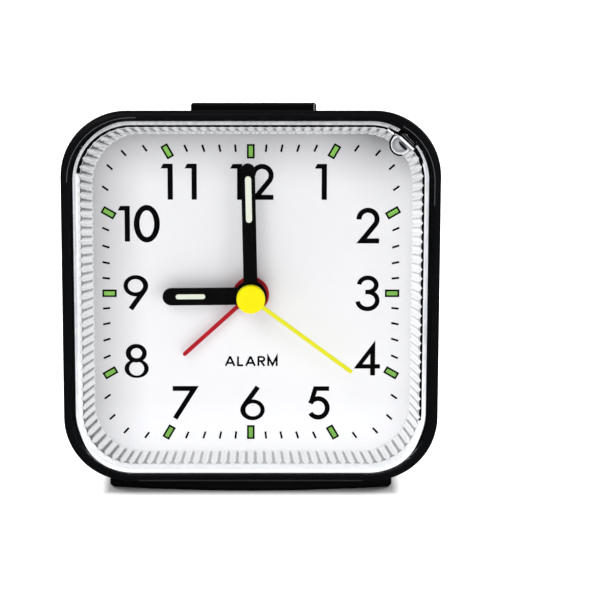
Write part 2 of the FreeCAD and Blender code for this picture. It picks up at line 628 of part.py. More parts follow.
def stator():
    y0, y1 = behind_dial(STATOR[0]), behind_dial(STATOR[1])
    foot = box(ROTOR[0] - 3.4, COIL_X + 1.5, y0, y1, PLATE_LOW + 0.3, -6.6)
    core = box(COIL_X - 1.5, COIL_X + 1.5, y0, y1, -6.6, COIL_HIGH + 2.0)
    post_gap = rod(22.0, -10.3, POST_R + 0.1, y0 - 1, y1 + 1)
    return join(foot, core).cut([rod(*ROTOR, 2.6, y0 - 1, y1 + 1), post_gap])


def coil_bobbin():
    middle = behind_dial((STATOR[0] + STATOR[1]) / 2)
    spool = box(COIL_X - 2.0, COIL_X + 2.0, middle - 1.1, middle + 1.1, COIL_LOW, COIL_HIGH)
    ends = [box(COIL_X - 3.4, COIL_X + 3.4, middle - 3.0, middle + 3.0, z, z + 0.8)
            for z in (COIL_LOW, COIL_HIGH - 0.8)]
    bore = box(COIL_X - 1.5, COIL_X + 1.5, middle - 0.6, middle + 0.6, COIL_LOW - 1, COIL_HIGH + 1)
    return join(spool, *ends).cut(bore)


def coil_winding():
    middle = behind_dial((STATOR[0] + STATOR[1]) / 2)
    z0, z1 = COIL_LOW + 0.8, COIL_HIGH - 0.8
    outer = box(COIL_X - 3.1, COIL_X + 3.1, middle - 2.7, middle + 2.7, z0, z1)
    outer = outer.makeFillet(1.4, [e for e in outer.Edges if e.BoundBox.ZLength > z1 - z0 - 0.01])
    return outer.cut(box(COIL_X - 2.0, COIL_X + 2.0, middle - 1.1, middle + 1.1, z0 - 1, z1 + 1))


BOARD_FRONT, BOARD_BACK = 8.5, 9.5
BOARD_X, BOARD_LOW, BOARD_HIGH = 21.0, 8.6, 25.0


def circuit_board():
    board = box(-BOARD_X, BOARD_X, BOARD_FRONT, BOARD_BACK, BOARD_LOW, BOARD_HIGH)
    standoffs = [rod(x, 13.5, 1.4, behind_dial(REAR_PLATE[1]), BOARD_FRONT) for x in (-18.5, 18.5)]
    return join(board, *standoffs)


def control_chip():
    body = box(-3.0, 3.0, BOARD_BACK + 0.15, BOARD_BACK + 1.6, 12.0, 16.0)
    legs = []
    for side in (-1, 1):
        for index in range(4):
            x = -2.2 + index * 1.45
            z = 14.0 + side * 2.6
            legs.append(box(x - 0.2, x + 0.2, BOARD_BACK, BOARD_BACK + 0.5, z - 0.65, z + 0.65))
    return join(body, *legs)


def quartz_can():
    x = 9.0
    can = Part.makeCylinder(1.0, 6.0, vector(x, BOARD_BACK + 1.0, 11.5), FreeCAD.Vector(0, 0, 1))
    leads = [box(x + dx - 0.15, x + dx + 0.15, BOARD_BACK, BOARD_BACK + 1.0, 10.6, 11.5)
             for dx in (-0.5, 0.5)]
    return join(can, *leads)


def buzzer():
    shell = tube(BUZZER_X, BUZZER_Z, BUZZER_R, BUZZER_R - 0.8, 11.6, BACK - PANEL)
    back = rod(BUZZER_X, BUZZER_Z, BUZZER_R, 11.6, 12.4)
    disc = rod(BUZZER_X, BUZZER_Z, 2.0, 12.4, 13.4)
    return join(shell, back, disc)


def snooze_switch():
    """Contact block on the board under the snooze bar's stem."""
    block = box(-4.0, 4.0, BOARD_BACK, 13.0, SWITCH_TOP - 4.0, SWITCH_TOP)
    return block.makeFillet(0.5, [e for e in block.Edges if e.BoundBox.YLength > 3.0])


def snooze_dome():
    """Silicone return dome: a hollow cone frustum standing on the contact block."""
    base = vector(0, STEM_Y, SWITCH_TOP)
    up = FreeCAD.Vector(0, 0, 1)
    outside = Part.makeCone(1.7, 1.1, DOME_HEIGHT, base, up)
    return outside.cut(Part.makeCone(1.2, 0.6, DOME_HEIGHT - 0.8, base, up))


def snooze_bar():
    def top(y):
        return case_half(y) + SNOOZE_RISE

    def under(y, drop):
        return cavity_half(y) - SNOOZE_GAP - drop
    start, end = SNOOZE_START, SNOOZE_END
    outline = [(start, under(start, 0.5)), (end, under(end, 0.5)), (end, top(end)), (start, top(start))]
    cap = side_profile(outline, SNOOZE_HALF)
    rim = [e for e in cap.Edges if e.BoundBox.ZMin > DIAL_Z + top(end) - 0.01]
    cap = cap.makeFillet(0.6, rim)
    low, high = start - 0.8, end + 0.8
    flange = side_profile([(low, under(low, 1.2)), (high, under(high, 1.2)), (high, under(high, 0)),
                           (low, under(low, 0))], SNOOZE_HALF + 1.2)
    cap.translate(FreeCAD.Vector(SNOOZE_X, 0, 0))
    flange.translate(FreeCAD.Vector(SNOOZE_X, 0, 0))
    stem_bottom = SWITCH_TOP + DOME_HEIGHT + 0.05
    stem = box(-2.0, 2.0, STEM_Y - 1.0, STEM_Y + 1.0, stem_bottom, under(STEM_Y, 0.5))
    return join(cap, flange, stem)


def setting_knob(centre):
    """A knob with a grooved edge, pressed on the end of its setting shaft."""
    grooves = []
    for groove in range(KNOB_TEETH):
        for share, radius in ((-0.30, KNOB_R), (0.30, KNOB_R), (0.42, KNOB_R - 0.35), (0.58, KNOB_R - 0.35)):
            angle = 2 * math.pi * (groove + share) / KNOB_TEETH
            grooves.append((centre[0] + radius * math.sin(angle), centre[1] + radius * math.cos(angle)))
    front = BACK + 0.3
    blank = rod(*centre, KNOB_R, front, KNOB_END)
    blank = blank.makeChamfer(0.4, edges_at_depth(blank, KNOB_END))
    head = extruded(grooves, front, KNOB_END).common(blank)
    x, z = centre
    pointer = box(x - 0.3, x + 0.3, KNOB_END - 0.3, KNOB_END + 1, z + 1.2, z + 4.0)
    return head.cut([pointer, rod(*centre, SHAFT_R, front - 1, KNOB_END - 1.0)])


def alarm_switch():
    """Sliding on-off button: ribbed finger pad outside, retaining flange and leg inside."""
    pad = box(SLIDER_X - 2.0, SLIDER_X + 2.0, BACK - PANEL - 0.2, BACK + 1.4, SLIDER_Z - 1.2, SLIDER_Z + 1.2)
    flange = box(SLIDER_X - 3.2, SLIDER_X + 3.2, BACK - PANEL - 0.8, BACK - PANEL - 0.2,
                 SLIDER_Z - 2.4, SLIDER_Z + 2.4)
    leg = box(SLIDER_X - 0.6, SLIDER_X + 0.6, 11.6, BACK - PANEL - 0.8, SLIDER_Z - 1.0, SLIDER_Z + 1.0)
    grips = [box(SLIDER_X + dx - 0.25, SLIDER_X + dx + 0.25, BACK + 1.1, BACK + 2, SLIDER_Z - 2, SLIDER_Z + 2)
             for dx in (-1.2, 0.0, 1.2)]
    return join(pad, flange, leg).cut(grips)


def alarm_switch_contact():
    """Fixed contact block on the board, in front of the slider's leg."""
    block = box(SLIDER_X - 2.4, SLIDER_X + SLIDER_TRAVEL + 1.2, BOARD_BACK, 11.2, 22.4, 24.8)
    return block


def alarm_contact_spring():
    """Leaf spring from the front plate, riding close behind the alarm wheel's edge."""
    y0 = behind_dial(FRONT_PLATE[1])
    foot = box(-6.0, -3.0, y0, y0 + 0.3, 12.0, 16.0)
    riser = box(-6.0, -3.0, y0 + 0.3, behind_dial(3.0), 12.0, 12.3)
    finger = box(-5.2, -3.8, behind_dial(2.6), behind_dial(2.9), 9.6, 12.0)
    return join(foot, riser, finger)


# ------------------------------------------------------------------ battery
def battery_tray():
    y0, y1 = CELL_Y - CELL_R - TRAY_WALL, BACK - PANEL
    outer_half = TRAY_HALF + TRAY_WALL
    outer = box(-outer_half, outer_half, y0, y1, TRAY_LOW - TRAY_WALL, TRAY_HIGH + TRAY_WALL)
    inner = box(-TRAY_HALF, TRAY_HALF, y0 + TRAY_WALL, y1 + 1, TRAY_LOW, TRAY_HIGH)
    wire_notch = box(-3.0, 3.0, y1 - 2.0, y1 + 1, TRAY_HIGH - 0.5, TRAY_HIGH + TRAY_WALL + 1)
    return outer.cut([inner, wire_notch])


def battery_cell():
    end = CELL_LENGTH / 2
    axis = FreeCAD.Vector(1, 0, 0)
    can = Part.makeCylinder(CELL_R, CELL_LENGTH - 1.3, vector(-end, CELL_Y, CELL_Z), axis)
    can = can.makeFillet(0.6, [e for e in can.Edges if e.BoundBox.XLength < 0.01])
    button = Part.makeCylinder(2.7, 1.8, vector(end - 1.8, CELL_Y, CELL_Z), axis)
    return join(can, button)


def positive_contact():
    end = CELL_LENGTH / 2
    sheet = box(TRAY_HALF - 0.4, TRAY_HALF, CELL_Y - 5.0, CELL_Y + 5.0, CELL_Z - 5.5, CELL_Z + 5.5)
    nub = box(end, TRAY_HALF - 0.4, CELL_Y - 2.0, CELL_Y + 2.0, CELL_Z - 2.0, CELL_Z + 2.0)
    return join(sheet, nub)


def negative_contact():
    """Sheet contact with a sprung finger that presses on the flat end of the cell."""
    end = -CELL_LENGTH / 2
    sheet = box(-TRAY_HALF, -TRAY_HALF + 0.4, CELL_Y - 5.0, CELL_Y + 5.0, CELL_Z - 5.5, CELL_Z + 5.5)
    root_x = -TRAY_HALF + 0.4
    profile = [(root_x, CELL_Z + 4.5), (root_x, CELL_Z + 3.6), (end, CELL_Z), (end, CELL_Z - 1.5),
               (end - 0.35, CELL_Z - 1.5), (end - 0.35, CELL_Z - 0.2)]
    return join(sheet, extruded(profile, CELL_Y - 1.6, CELL_Y + 1.6))


def battery_door():
    """Door with a round lower edge that turns on two pins in the cover."""
    half_thick = DOOR_THICKNESS / 2
    y0, axis_z = BACK - DOOR_THICKNESS, DOOR_LOW + half_thick
    axis = FreeCAD.Vector(1, 0, 0)
    panel = box(-DOOR_HALF, DOOR_HALF, y0, BACK, axis_z, DOOR_HIGH)
    edge = Part.makeCylinder(half_thick, 2 * DOOR_HALF, vector(-DOOR_HALF, BACK - half_thick, axis_z), axis)
    pin_end = vector(-DOOR_HALF - 1.1, BACK - half_thick, axis_z)
    pins = Part.makeCylinder(0.6, 2 * DOOR_HALF + 2.2, pin_end, axis)
    latch = box(-3.0, 3.0, y0 - 1.6, y0, DOOR_HIGH - 1.0, DOOR_HIGH)
    door = join(panel, edge, pins, latch)
    ribs = [box(-8.0, 8.0, BACK - 0.3, BACK + 1, DOOR_HIGH - z - 0.5, DOOR_HIGH - z) for z in (1.6, 3.0, 4.4)]
    return door.cut(ribs)


# ------------------------------------------------------------------ write every piece
PIECES = {
    "front_case": front_case, "back_cover": back_cover, "base_plinth": base_plinth,
    "dial": dial, "crystal": crystal, "spacer_ring": spacer_ring, "light_guide_ring": light_guide_ring,
    "night_lamp": night_lamp,
    "case_screws": case_screws, "snooze_bar": snooze_bar, "snooze_dome": snooze_dome,
    "alarm_hand": alarm_hand, "hour_hand": hour_hand, "hour_inlay": hour_inlay,
    "minute_hand": minute_hand, "minute_inlay": minute_inlay,
    "second_hand": second_hand, "second_hand_cap": second_hand_cap,
    "front_plate": front_plate, "middle_plate": middle_plate, "rear_plate": rear_plate,
    "plate_posts": plate_posts, "movement_screws": movement_screws,
    "alarm_wheel": alarm_wheel, "alarm_set_shaft": alarm_set_shaft, "hour_wheel": hour_wheel,
    "cannon_pinion": cannon_pinion, "minute_wheel": minute_wheel,
    "motion_shaft": motion_shaft, "motion_wheel": motion_wheel,
    "third_arbor": third_arbor, "third_wheel": third_wheel,
    "second_arbor": second_arbor, "second_wheel": second_wheel,
    "intermediate_hub": intermediate_hub, "intermediate_wheel": intermediate_wheel,
    "rotor_arbor": rotor_arbor, "rotor_magnet": rotor_magnet,
    "stator": stator, "coil_bobbin": coil_bobbin, "coil_winding": coil_winding,
    "circuit_board": circuit_board, "control_chip": control_chip, "quartz_can": quartz_can,
    "buzzer": buzzer, "snooze_switch": snooze_switch,
    "time_set_knob": lambda: setting_knob(MOTION), "alarm_set_knob": lambda: setting_knob(ALARM_SET),
    "alarm_switch": alarm_switch, "alarm_switch_contact": alarm_switch_contact,
    "alarm_contact_spring": alarm_contact_spring,
    "battery_tray": battery_tray, "battery_cell": battery_cell, "positive_contact": positive_contact,
    "negative_contact": negative_contact, "battery_door": battery_door,
}

os.makedirs("parts", exist_ok=True)
for name, make in PIECES.items():
    shape = make()
    if not shape.isValid():
        print("not valid:", name)
    print(f"{name:24s} solids {len(shape.Solids):2d}  volume {shape.Volume:10.2f} mm3")
    shape.exportStep(f"parts/{name}.step")
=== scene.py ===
import math

import bpy
import numpy as np
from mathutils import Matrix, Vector
from mathutils.geometry import delaunay_2d_cdt


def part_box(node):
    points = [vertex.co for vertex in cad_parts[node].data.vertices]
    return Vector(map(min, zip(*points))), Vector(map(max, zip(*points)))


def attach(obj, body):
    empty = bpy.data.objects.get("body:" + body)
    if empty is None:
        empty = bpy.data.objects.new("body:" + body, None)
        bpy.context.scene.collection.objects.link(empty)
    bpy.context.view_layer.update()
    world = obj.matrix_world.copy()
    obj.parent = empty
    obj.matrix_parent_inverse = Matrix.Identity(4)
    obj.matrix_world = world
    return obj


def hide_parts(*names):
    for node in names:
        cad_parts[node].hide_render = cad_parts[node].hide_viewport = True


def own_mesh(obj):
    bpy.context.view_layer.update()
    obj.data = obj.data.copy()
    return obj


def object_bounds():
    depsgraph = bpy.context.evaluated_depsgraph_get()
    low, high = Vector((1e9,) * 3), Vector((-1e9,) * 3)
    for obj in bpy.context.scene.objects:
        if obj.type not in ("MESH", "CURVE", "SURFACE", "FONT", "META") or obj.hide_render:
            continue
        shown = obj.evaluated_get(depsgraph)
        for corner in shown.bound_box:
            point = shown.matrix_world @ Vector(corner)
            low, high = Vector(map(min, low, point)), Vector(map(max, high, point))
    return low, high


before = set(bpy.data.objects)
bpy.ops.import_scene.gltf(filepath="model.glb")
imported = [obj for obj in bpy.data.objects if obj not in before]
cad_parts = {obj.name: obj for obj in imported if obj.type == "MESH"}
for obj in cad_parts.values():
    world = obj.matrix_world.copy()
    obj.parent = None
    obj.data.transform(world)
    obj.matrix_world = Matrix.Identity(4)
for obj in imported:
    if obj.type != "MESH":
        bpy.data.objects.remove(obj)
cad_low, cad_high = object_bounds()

# Looks of the square alarm clock: its printed dial, the fluted ring round it with the lamp's pocket,
# a finish for every piece, and the studio. Lengths are in millimetres from the dial's centre unless said
# otherwise: x to the right, z up, and height towards the viewer from the dial's face.
MM = 0.001
dial_low, dial_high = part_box("dial")
DIAL_X = (dial_low.x + dial_high.x) / 2
DIAL_Z = (dial_low.z + dial_high.z) / 2
DIAL_FACE = dial_low.y


def at_dial(x, z, height=0.0):
    """A point in metres in the frame, from millimetres on the dial."""
    return Vector((DIAL_X + x * MM, DIAL_FACE - height * MM, DIAL_Z + z * MM))


def height_of(node):
    """Height of a node's front face above the dial."""
    return (DIAL_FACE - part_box(node)[0].y) / MM


# ------------------------------------------------------------------ node helpers
def new_material(name):
    """A material with its node tree and its shader."""
    material = bpy.data.materials.new(name)
    material.use_nodes = True
    return material, material.node_tree, material.node_tree.nodes["Principled BSDF"]


def put(tree, socket, value):
    """Set a socket, or link another socket to it."""
    if isinstance(value, bpy.types.NodeSocket):
        tree.links.new(value, socket)
    elif hasattr(value, "__len__") and len(value) == 3 and len(socket.default_value) == 4:
        socket.default_value = (*value, 1.0)
    else:
        socket.default_value = value


def add_node(tree, kind, inputs, **settings):
    """A node of a kind, with its inputs set or linked and its own settings."""
    made = tree.nodes.new(kind)
    for name, value in settings.items():
        setattr(made, name, value)
    for key, value in inputs.items():
        put(tree, made.inputs[key], value)
    return made


def coordinates(tree, stretch=(1.0, 1.0, 1.0)):
    """The piece's own coordinates, in metres, which move with it."""
    source = add_node(tree, "ShaderNodeTexCoord", {}).outputs["Object"]
    return add_node(tree, "ShaderNodeMapping", {"Vector": source, "Scale": stretch}).outputs[0]


def noise(tree, size, detail=2.0, stretch=(1.0, 1.0, 1.0)):
    """Noise whose features are about size millimetres across."""
    inputs = {"Vector": coordinates(tree, stretch), "Scale": 1.0 / (size * MM), "Detail": detail}
    return add_node(tree, "ShaderNodeTexNoise", inputs).outputs["Fac"]


def spread(tree, value, low, high, start=0.3, end=0.7):
    """A value from start to end becomes low to high; start and end suit a noise unless given."""
    inputs = {"Value": value, "From Min": start, "From Max": end, "To Min": low, "To Max": high}
    return add_node(tree, "ShaderNodeMapRange", inputs).outputs[0]


def blend(tree, factor, first, second):
    """The first colour where the factor is 0, the second where it is 1."""
    made = add_node(tree, "ShaderNodeMix", {"Factor": factor}, data_type="RGBA")
    put(tree, made.inputs[6], first)
    put(tree, made.inputs[7], second)
    return made.outputs[2]


def calculate(tree, operation, first, second=0.0):
    return add_node(tree, "ShaderNodeMath", {0: first, 1: second}, operation=operation).outputs[0]


def vectors(tree, operation, first, second, output="Vector"):
    made = add_node(tree, "ShaderNodeVectorMath", {0: first, 1: second}, operation=operation)
    return made.outputs[output]


def added(tree, shade, amount, strength):
    """The shade with an amount times its strength on top."""
    return calculate(tree, "ADD", shade, calculate(tree, "MULTIPLY", amount, strength))


def bumped(tree, shader, height, depth):
    """Relief of a depth in millimetres."""
    inputs = {"Height": height, "Distance": depth * MM, "Strength": 1.0}
    put(tree, shader.inputs["Normal"], add_node(tree, "ShaderNodeBump", inputs).outputs[0])


def shades(colour, amount):
    """A colour made darker and lighter by a share of itself."""
    return [c * (1 - amount) for c in colour], [min(c * (1 + amount), 1.0) for c in colour]


# ------------------------------------------------------------------ finishes
def moulded(name, colour, roughness, grain=0.35, depth=0.004, tint=0.08, specular=0.5, glow=0.0):
    """Moulded plastic or paint: faint clouding, fine grain, and a painted glow where one is given."""
    material, tree, shader = new_material(name)
    darker, lighter = shades(colour, tint)
    cloud = spread(tree, noise(tree, 14.0, 3.0), 0.0, 1.0)
    put(tree, shader.inputs["Base Color"], blend(tree, cloud, darker, lighter))
    fine = noise(tree, grain, 2.0)
    put(tree, shader.inputs["Roughness"], spread(tree, fine, roughness - 0.05, roughness + 0.05))
    put(tree, shader.inputs["Specular IOR Level"], specular)
    put(tree, shader.inputs["Emission Color"], lighter)
    put(tree, shader.inputs["Emission Strength"], glow)
    bumped(tree, shader, fine, depth)
    return material


def metal(name, colour, roughness, stretch=(1.0, 1.0, 1.0)):
    """Bright metal with fine drawing lines along one direction."""
    material, tree, shader = new_material(name)
    lines = noise(tree, 0.25, 4.0, stretch)
    darker, lighter = shades(colour, 0.12)
    put(tree, shader.inputs["Base Color"], blend(tree, lines, darker, lighter))
    put(tree, shader.inputs["Metallic"], 1.0)
    put(tree, shader.inputs["Roughness"], spread(tree, lines, roughness - 0.08, roughness + 0.12))
    bumped(tree, shader, lines, 0.003)
    return material


# each painted shade on the dial with the two places, from the dial's centre, between which it grows
PAPER_WHITE = (0.975, 0.976, 0.99)
PAPER_SHADED = (0.0, 0.0, 0.01)      # at full shade, which is never reached
SHADE_TOP, TOP_FROM, TOP_TO = 0.46, 23.0, 35.5
SHADE_LEFT, LEFT_FROM, LEFT_TO = 0.34, -22.0, -33.0
SHADE_RIGHT, RIGHT_FROM, RIGHT_TO = 0.05, 23.0, 34.0
SHADE_UPWARD, UPWARD_FROM, UPWARD_TO = 0.12, -34.0, 25.0
SHADE_TOP_LEFT = -0.22               # the two don't add up fully where they meet
SHADE_LAMP, SHADE_CORNER = 0.24, (31.0, 34.0)    # round this place near the lamp
LAMP_NEAR, LAMP_FAR = 2.0, 17.0      # distances from it
FOOT_GLOW, GLOW_FROM, GLOW_TO = 0.15, -23.0, -34.5    # painted light on the dial's foot, as from the ring


def paint_dial_with_shade(name):
    """Matt white paint with painted shade under the top edge, at the left and by the lamp, and painted
    light at the foot.
    """
    material, tree, shader = new_material(name)
    axes = add_node(tree, "ShaderNodeSeparateXYZ", {"Vector": coordinates(tree)}).outputs
    across, up = axes["X"], axes["Z"]
    # painted shade: darker under the top edge, at the left, a little at the right, upwards and round the
    # lamp
    top = spread(tree, up, 0.0, 1.0, DIAL_Z + TOP_FROM * MM, DIAL_Z + TOP_TO * MM)
    left = spread(tree, across, 1.0, 0.0, DIAL_X + LEFT_TO * MM, DIAL_X + LEFT_FROM * MM)
    left = calculate(tree, "POWER", left, 1.2)
    right = spread(tree, across, 0.0, 1.0, DIAL_X + RIGHT_FROM * MM, DIAL_X + RIGHT_TO * MM)
    shade = calculate(tree, "MULTIPLY", calculate(tree, "POWER", top, 1.4), SHADE_TOP)
    shade = added(tree, shade, left, SHADE_LEFT)
    shade = added(tree, shade, calculate(tree, "MULTIPLY", top, left), SHADE_TOP_LEFT)
    shade = added(tree, shade, right, SHADE_RIGHT)
    upward = spread(tree, up, 0.0, SHADE_UPWARD, DIAL_Z + UPWARD_FROM * MM, DIAL_Z + UPWARD_TO * MM)
    shade = calculate(tree, "ADD", shade, upward)
    corner = Vector((DIAL_X + SHADE_CORNER[0] * MM, 0.0, DIAL_Z + SHADE_CORNER[1] * MM))
    flat = add_node(tree, "ShaderNodeCombineXYZ", {"X": across, "Z": up}).outputs[0]
    away = vectors(tree, "DISTANCE", flat, corner, "Value")
    near = spread(tree, away, 1.0, 0.0, LAMP_NEAR * MM, LAMP_FAR * MM)
    near = calculate(tree, "POWER", near, 1.3)
    shade = added(tree, shade, near, SHADE_LAMP)
    put(tree, shader.inputs["Emission Color"], (0.97, 0.98, 1.0))
    glow = spread(tree, up, FOOT_GLOW, 0.0, DIAL_Z + GLOW_TO * MM, DIAL_Z + GLOW_FROM * MM)
    put(tree, shader.inputs["Emission Strength"], glow)
    grain = spread(tree, noise(tree, 0.22, 2.0), -0.006, 0.006)
    shade = calculate(tree, "ADD", shade, grain)
    put(tree, shader.inputs["Base Color"], blend(tree, shade, PAPER_WHITE, PAPER_SHADED))
    put(tree, shader.inputs["Roughness"], spread(tree, noise(tree, 0.3), 0.55, 0.65))
    put(tree, shader.inputs["Specular IOR Level"], 0.3)
    bumped(tree, shader, noise(tree, 0.22, 2.0), 0.002)
    return material


def white_spacer_with_painted_light(name):
    """White plastic with painted light, as the crystal would pass on: bright along the foot and the sides,
    dimmer higher up.
    """
    material, tree, shader = new_material(name)
    axes = add_node(tree, "ShaderNodeSeparateXYZ", {"Vector": coordinates(tree)}).outputs
    up = spread(tree, axes["Z"], 0.0, 1.0, DIAL_Z - 36 * MM, DIAL_Z - 20 * MM)
    edge = spread(tree, axes["X"], 1.0, 0.0, DIAL_X - 37.2 * MM, DIAL_X - 36 * MM)
    cloud = spread(tree, noise(tree, 1.1, 4.0, (1.0, 1.0, 0.4)), 0.0, 1.0, 0.35, 0.65)
    colour = blend(tree, cloud, (0.80, 0.81, 0.83), (0.90, 0.91, 0.92))
    # a darker copy of the white, painted shade for the upper part
    dim = blend(tree, cloud, (0.60, 0.61, 0.63), (0.80, 0.81, 0.83))
    colour = blend(tree, up, colour, dim)
    put(tree, shader.inputs["Base Color"], colour)
    put(tree, shader.inputs["Emission Color"], colour)
    # painted glow, strongest along the sides
    aside = calculate(tree, "ABSOLUTE", calculate(tree, "SUBTRACT", axes["X"], DIAL_X))
    sides = spread(tree, aside, 0.0, 0.44, 28 * MM, 36 * MM)
    glow = calculate(tree, "MAXIMUM", spread(tree, up, 0.34, 0.20, 0.0, 1.0), sides)
    put(tree, shader.inputs["Emission Strength"], glow)
    put(tree, shader.inputs["Roughness"], spread(tree, edge, 0.25, 0.35, 0.0, 1.0))
    bumped(tree, shader, noise(tree, 0.9, 2.0), 0.012)
    return material


def winding(name):
    """Enamelled copper wire laid side by side."""
    material, tree, shader = new_material(name)
    wave = add_node(tree, "ShaderNodeTexWave", {"Vector": coordinates(tree), "Scale": 2100.0,
                                                "Distortion": 1.2, "Detail": 1.0},
                    bands_direction="Z").outputs["Fac"]
    put(tree, shader.inputs["Base Color"], blend(tree, wave, (0.22, 0.05, 0.015), (0.72, 0.26, 0.10)))
    put(tree, shader.inputs["Metallic"], 1.0)
    put(tree, shader.inputs["Roughness"], spread(tree, wave, 0.45, 0.28))
    bumped(tree, shader, wave, 0.04)
    return material


def circuit(name):
    """Green lacquered board with paler tracks under the lacquer."""
    material, tree, shader = new_material(name)
    cells = add_node(tree, "ShaderNodeTexVoronoi", {"Vector": coordinates(tree), "Scale": 420.0},
                     feature="DISTANCE_TO_EDGE", distance="MANHATTAN").outputs["Distance"]
    tracks = spread(tree, cells, 1.0, 0.0, 0.06, 0.09)
    put(tree, shader.inputs["Base Color"], blend(tree, tracks, (0.012, 0.10, 0.035), (0.05, 0.24, 0.07)))
    put(tree, shader.inputs["Roughness"], spread(tree, noise(tree, 0.8), 0.22, 0.34))
    bumped(tree, shader, tracks, 0.02)
    return material


CELL_BODY = 0.72             # share of the cell's length that is dark


def cell_sleeve(name):
    """Printed sleeve of a plain dry cell: dark body and a warm band at the positive end."""
    material, tree, shader = new_material(name)
    low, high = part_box("battery_cell")
    along = add_node(tree, "ShaderNodeSeparateXYZ", {"Vector": coordinates(tree)}).outputs["X"]
    edge = low.x + CELL_BODY * (high.x - low.x)
    band = spread(tree, along, 0.0, 1.0, edge, edge + 0.2 * MM)
    scuffs = spread(tree, noise(tree, 3.0, 6.0), 0.0, 1.0, 0.45, 0.75)
    body = blend(tree, scuffs, (0.012, 0.014, 0.018), (0.03, 0.033, 0.04))
    put(tree, shader.inputs["Base Color"], blend(tree, band, body, (0.55, 0.25, 0.07)))
    put(tree, shader.inputs["Roughness"], spread(tree, scuffs, 0.22, 0.38, 0.0, 1.0))
    put(tree, shader.inputs["Coat Weight"], 0.4)
    return material


def clear_plastic(name, glare, roughness):
    """Thin clear plastic: what is behind shows through, with gloss that grows towards grazing."""
    material, tree, shader = new_material(name)
    tree.nodes.remove(shader)
    rough = spread(tree, noise(tree, 9.0), roughness, roughness + 0.02)
    gloss = add_node(tree, "ShaderNodeBsdfGlossy", {"Color": (1.0, 1.0, 1.0), "Roughness": rough})
    facing = add_node(tree, "ShaderNodeLayerWeight", {"Blend": 0.5}).outputs["Facing"]
    share = spread(tree, calculate(tree, "POWER", facing, 5.0), 0.012, glare, 0.0, 1.0)
    see = add_node(tree, "ShaderNodeBsdfTransparent", {"Color": (0.993, 0.993, 0.996)})
    mix = add_node(tree, "ShaderNodeMixShader", {0: share, 1: see.outputs[0], 2: gloss.outputs[0]})
    put(tree, tree.nodes["Material Output"].inputs["Surface"], mix.outputs[0])
    return material


def shaded_plastic(name, light, dark, roughness, glow):
    """Clear plastic seen as white, with painted shade where the mesh's own shade value says so, and a
    painted glow.
    """
    material, tree, shader = new_material(name)
    shade = add_node(tree, "ShaderNodeAttribute", {}, attribute_name="shade").outputs["Fac"]
    mottle = spread(tree, noise(tree, 0.7, 4.0), -0.10, 0.10)
    factor = calculate(tree, "ADD", shade, calculate(tree, "MULTIPLY", shade, mottle))
    colour = blend(tree, factor, light, dark)
    put(tree, shader.inputs["Base Color"], colour)
    put(tree, shader.inputs["Emission Color"], colour)
    put(tree, shader.inputs["Emission Strength"], glow)
    put(tree, shader.inputs["Roughness"], spread(tree, noise(tree, 1.1), roughness, roughness + 0.08))
    bumped(tree, shader, noise(tree, 1.6, 2.0), 0.01)
    return material


FINISHES = {
    "case_black": moulded("case_black", (0.0030, 0.0033, 0.0042), 0.42, 0.30, 0.003, 0.08, 0.11),
    "plinth_black": moulded("plinth_black", (0.0035, 0.0038, 0.0045), 0.42, 0.30, 0.004, 0.08, 0.16),
    "rear_black": moulded("rear_black", (0.010, 0.0105, 0.012), 0.52, 0.26, 0.012),
    "knob_black": moulded("knob_black", (0.012, 0.0125, 0.014), 0.42, 0.30, 0.005),
    "clear_crystal": clear_plastic("clear_crystal", 0.22, 0.02),
    "spacer_white": white_spacer_with_painted_light("spacer_white"),
    "light_guide": moulded("light_guide", (0.88, 0.90, 0.91), 0.2, 0.9, 0.01, 0.04),
    "dial_white": paint_dial_with_shade("dial_white"),
    "lamp_lens": moulded("lamp_lens", (0.50, 0.51, 0.53), 0.12, 0.8, 0.01, 0.1),
    "hand_black": moulded("hand_black", (0.0024, 0.0024, 0.0028), 0.45, 0.2, 0.002, 0.08, 0.10),
    "hand_red": moulded("hand_red", (0.47, 0.008, 0.018), 0.42, 0.2, 0.002, 0.08, 0.12),
    "hand_yellow": moulded("hand_yellow", (0.82, 0.80, 0.02), 0.42, 0.2, 0.002, 0.03, 0.15),
    "cap_yellow": moulded("cap_yellow", (0.95, 0.86, 0.0), 0.4, 0.4, 0.002, 0.02, 0.12),
    "luminous": moulded("luminous", (0.80, 0.85, 0.70), 0.7, 0.12, 0.01, 0.03, 0.2),
    "movement_plate": moulded("movement_plate", (0.62, 0.62, 0.58), 0.4, 0.4, 0.006),
    "gear_acetal": moulded("gear_acetal", (0.80, 0.79, 0.74), 0.32, 0.3, 0.004),
    "gear_dark": moulded("gear_dark", (0.03, 0.03, 0.034), 0.35, 0.3, 0.004),
    "steel": metal("steel", (0.62, 0.62, 0.62), 0.28, (1.0, 0.1, 1.0)),
    "magnet": metal("magnet", (0.10, 0.10, 0.11), 0.5),
    "copper": winding("copper"),
    "contact_metal": metal("contact_metal", (0.78, 0.75, 0.68), 0.25, (0.1, 1.0, 1.0)),
    "board": circuit("board"),
    "chip_black": moulded("chip_black", (0.014, 0.014, 0.015), 0.5, 0.15, 0.006),
    "buzzer_black": moulded("buzzer_black", (0.012, 0.012, 0.013), 0.38, 0.3, 0.004),
    "silicone": moulded("silicone", (0.46, 0.47, 0.46), 0.6, 0.3, 0.006),
    "cell_wrap": cell_sleeve("cell_wrap"),
}
INK = moulded("print_ink", (0.0018, 0.0018, 0.0022), 0.6, 0.15, 0.001, 0.08, 0.03)
MARKER_GREEN = moulded("marker_green", (0.22, 0.52, 0.085), 0.6, 0.15, 0.006, 0.10, 0.3)
# the fluted ring: white, with painted shade from its shade value and a painted glow
GUIDE = shaded_plastic("fluted_guide", (0.90, 0.91, 0.92), (0.06, 0.063, 0.07), 0.16, 0.25)
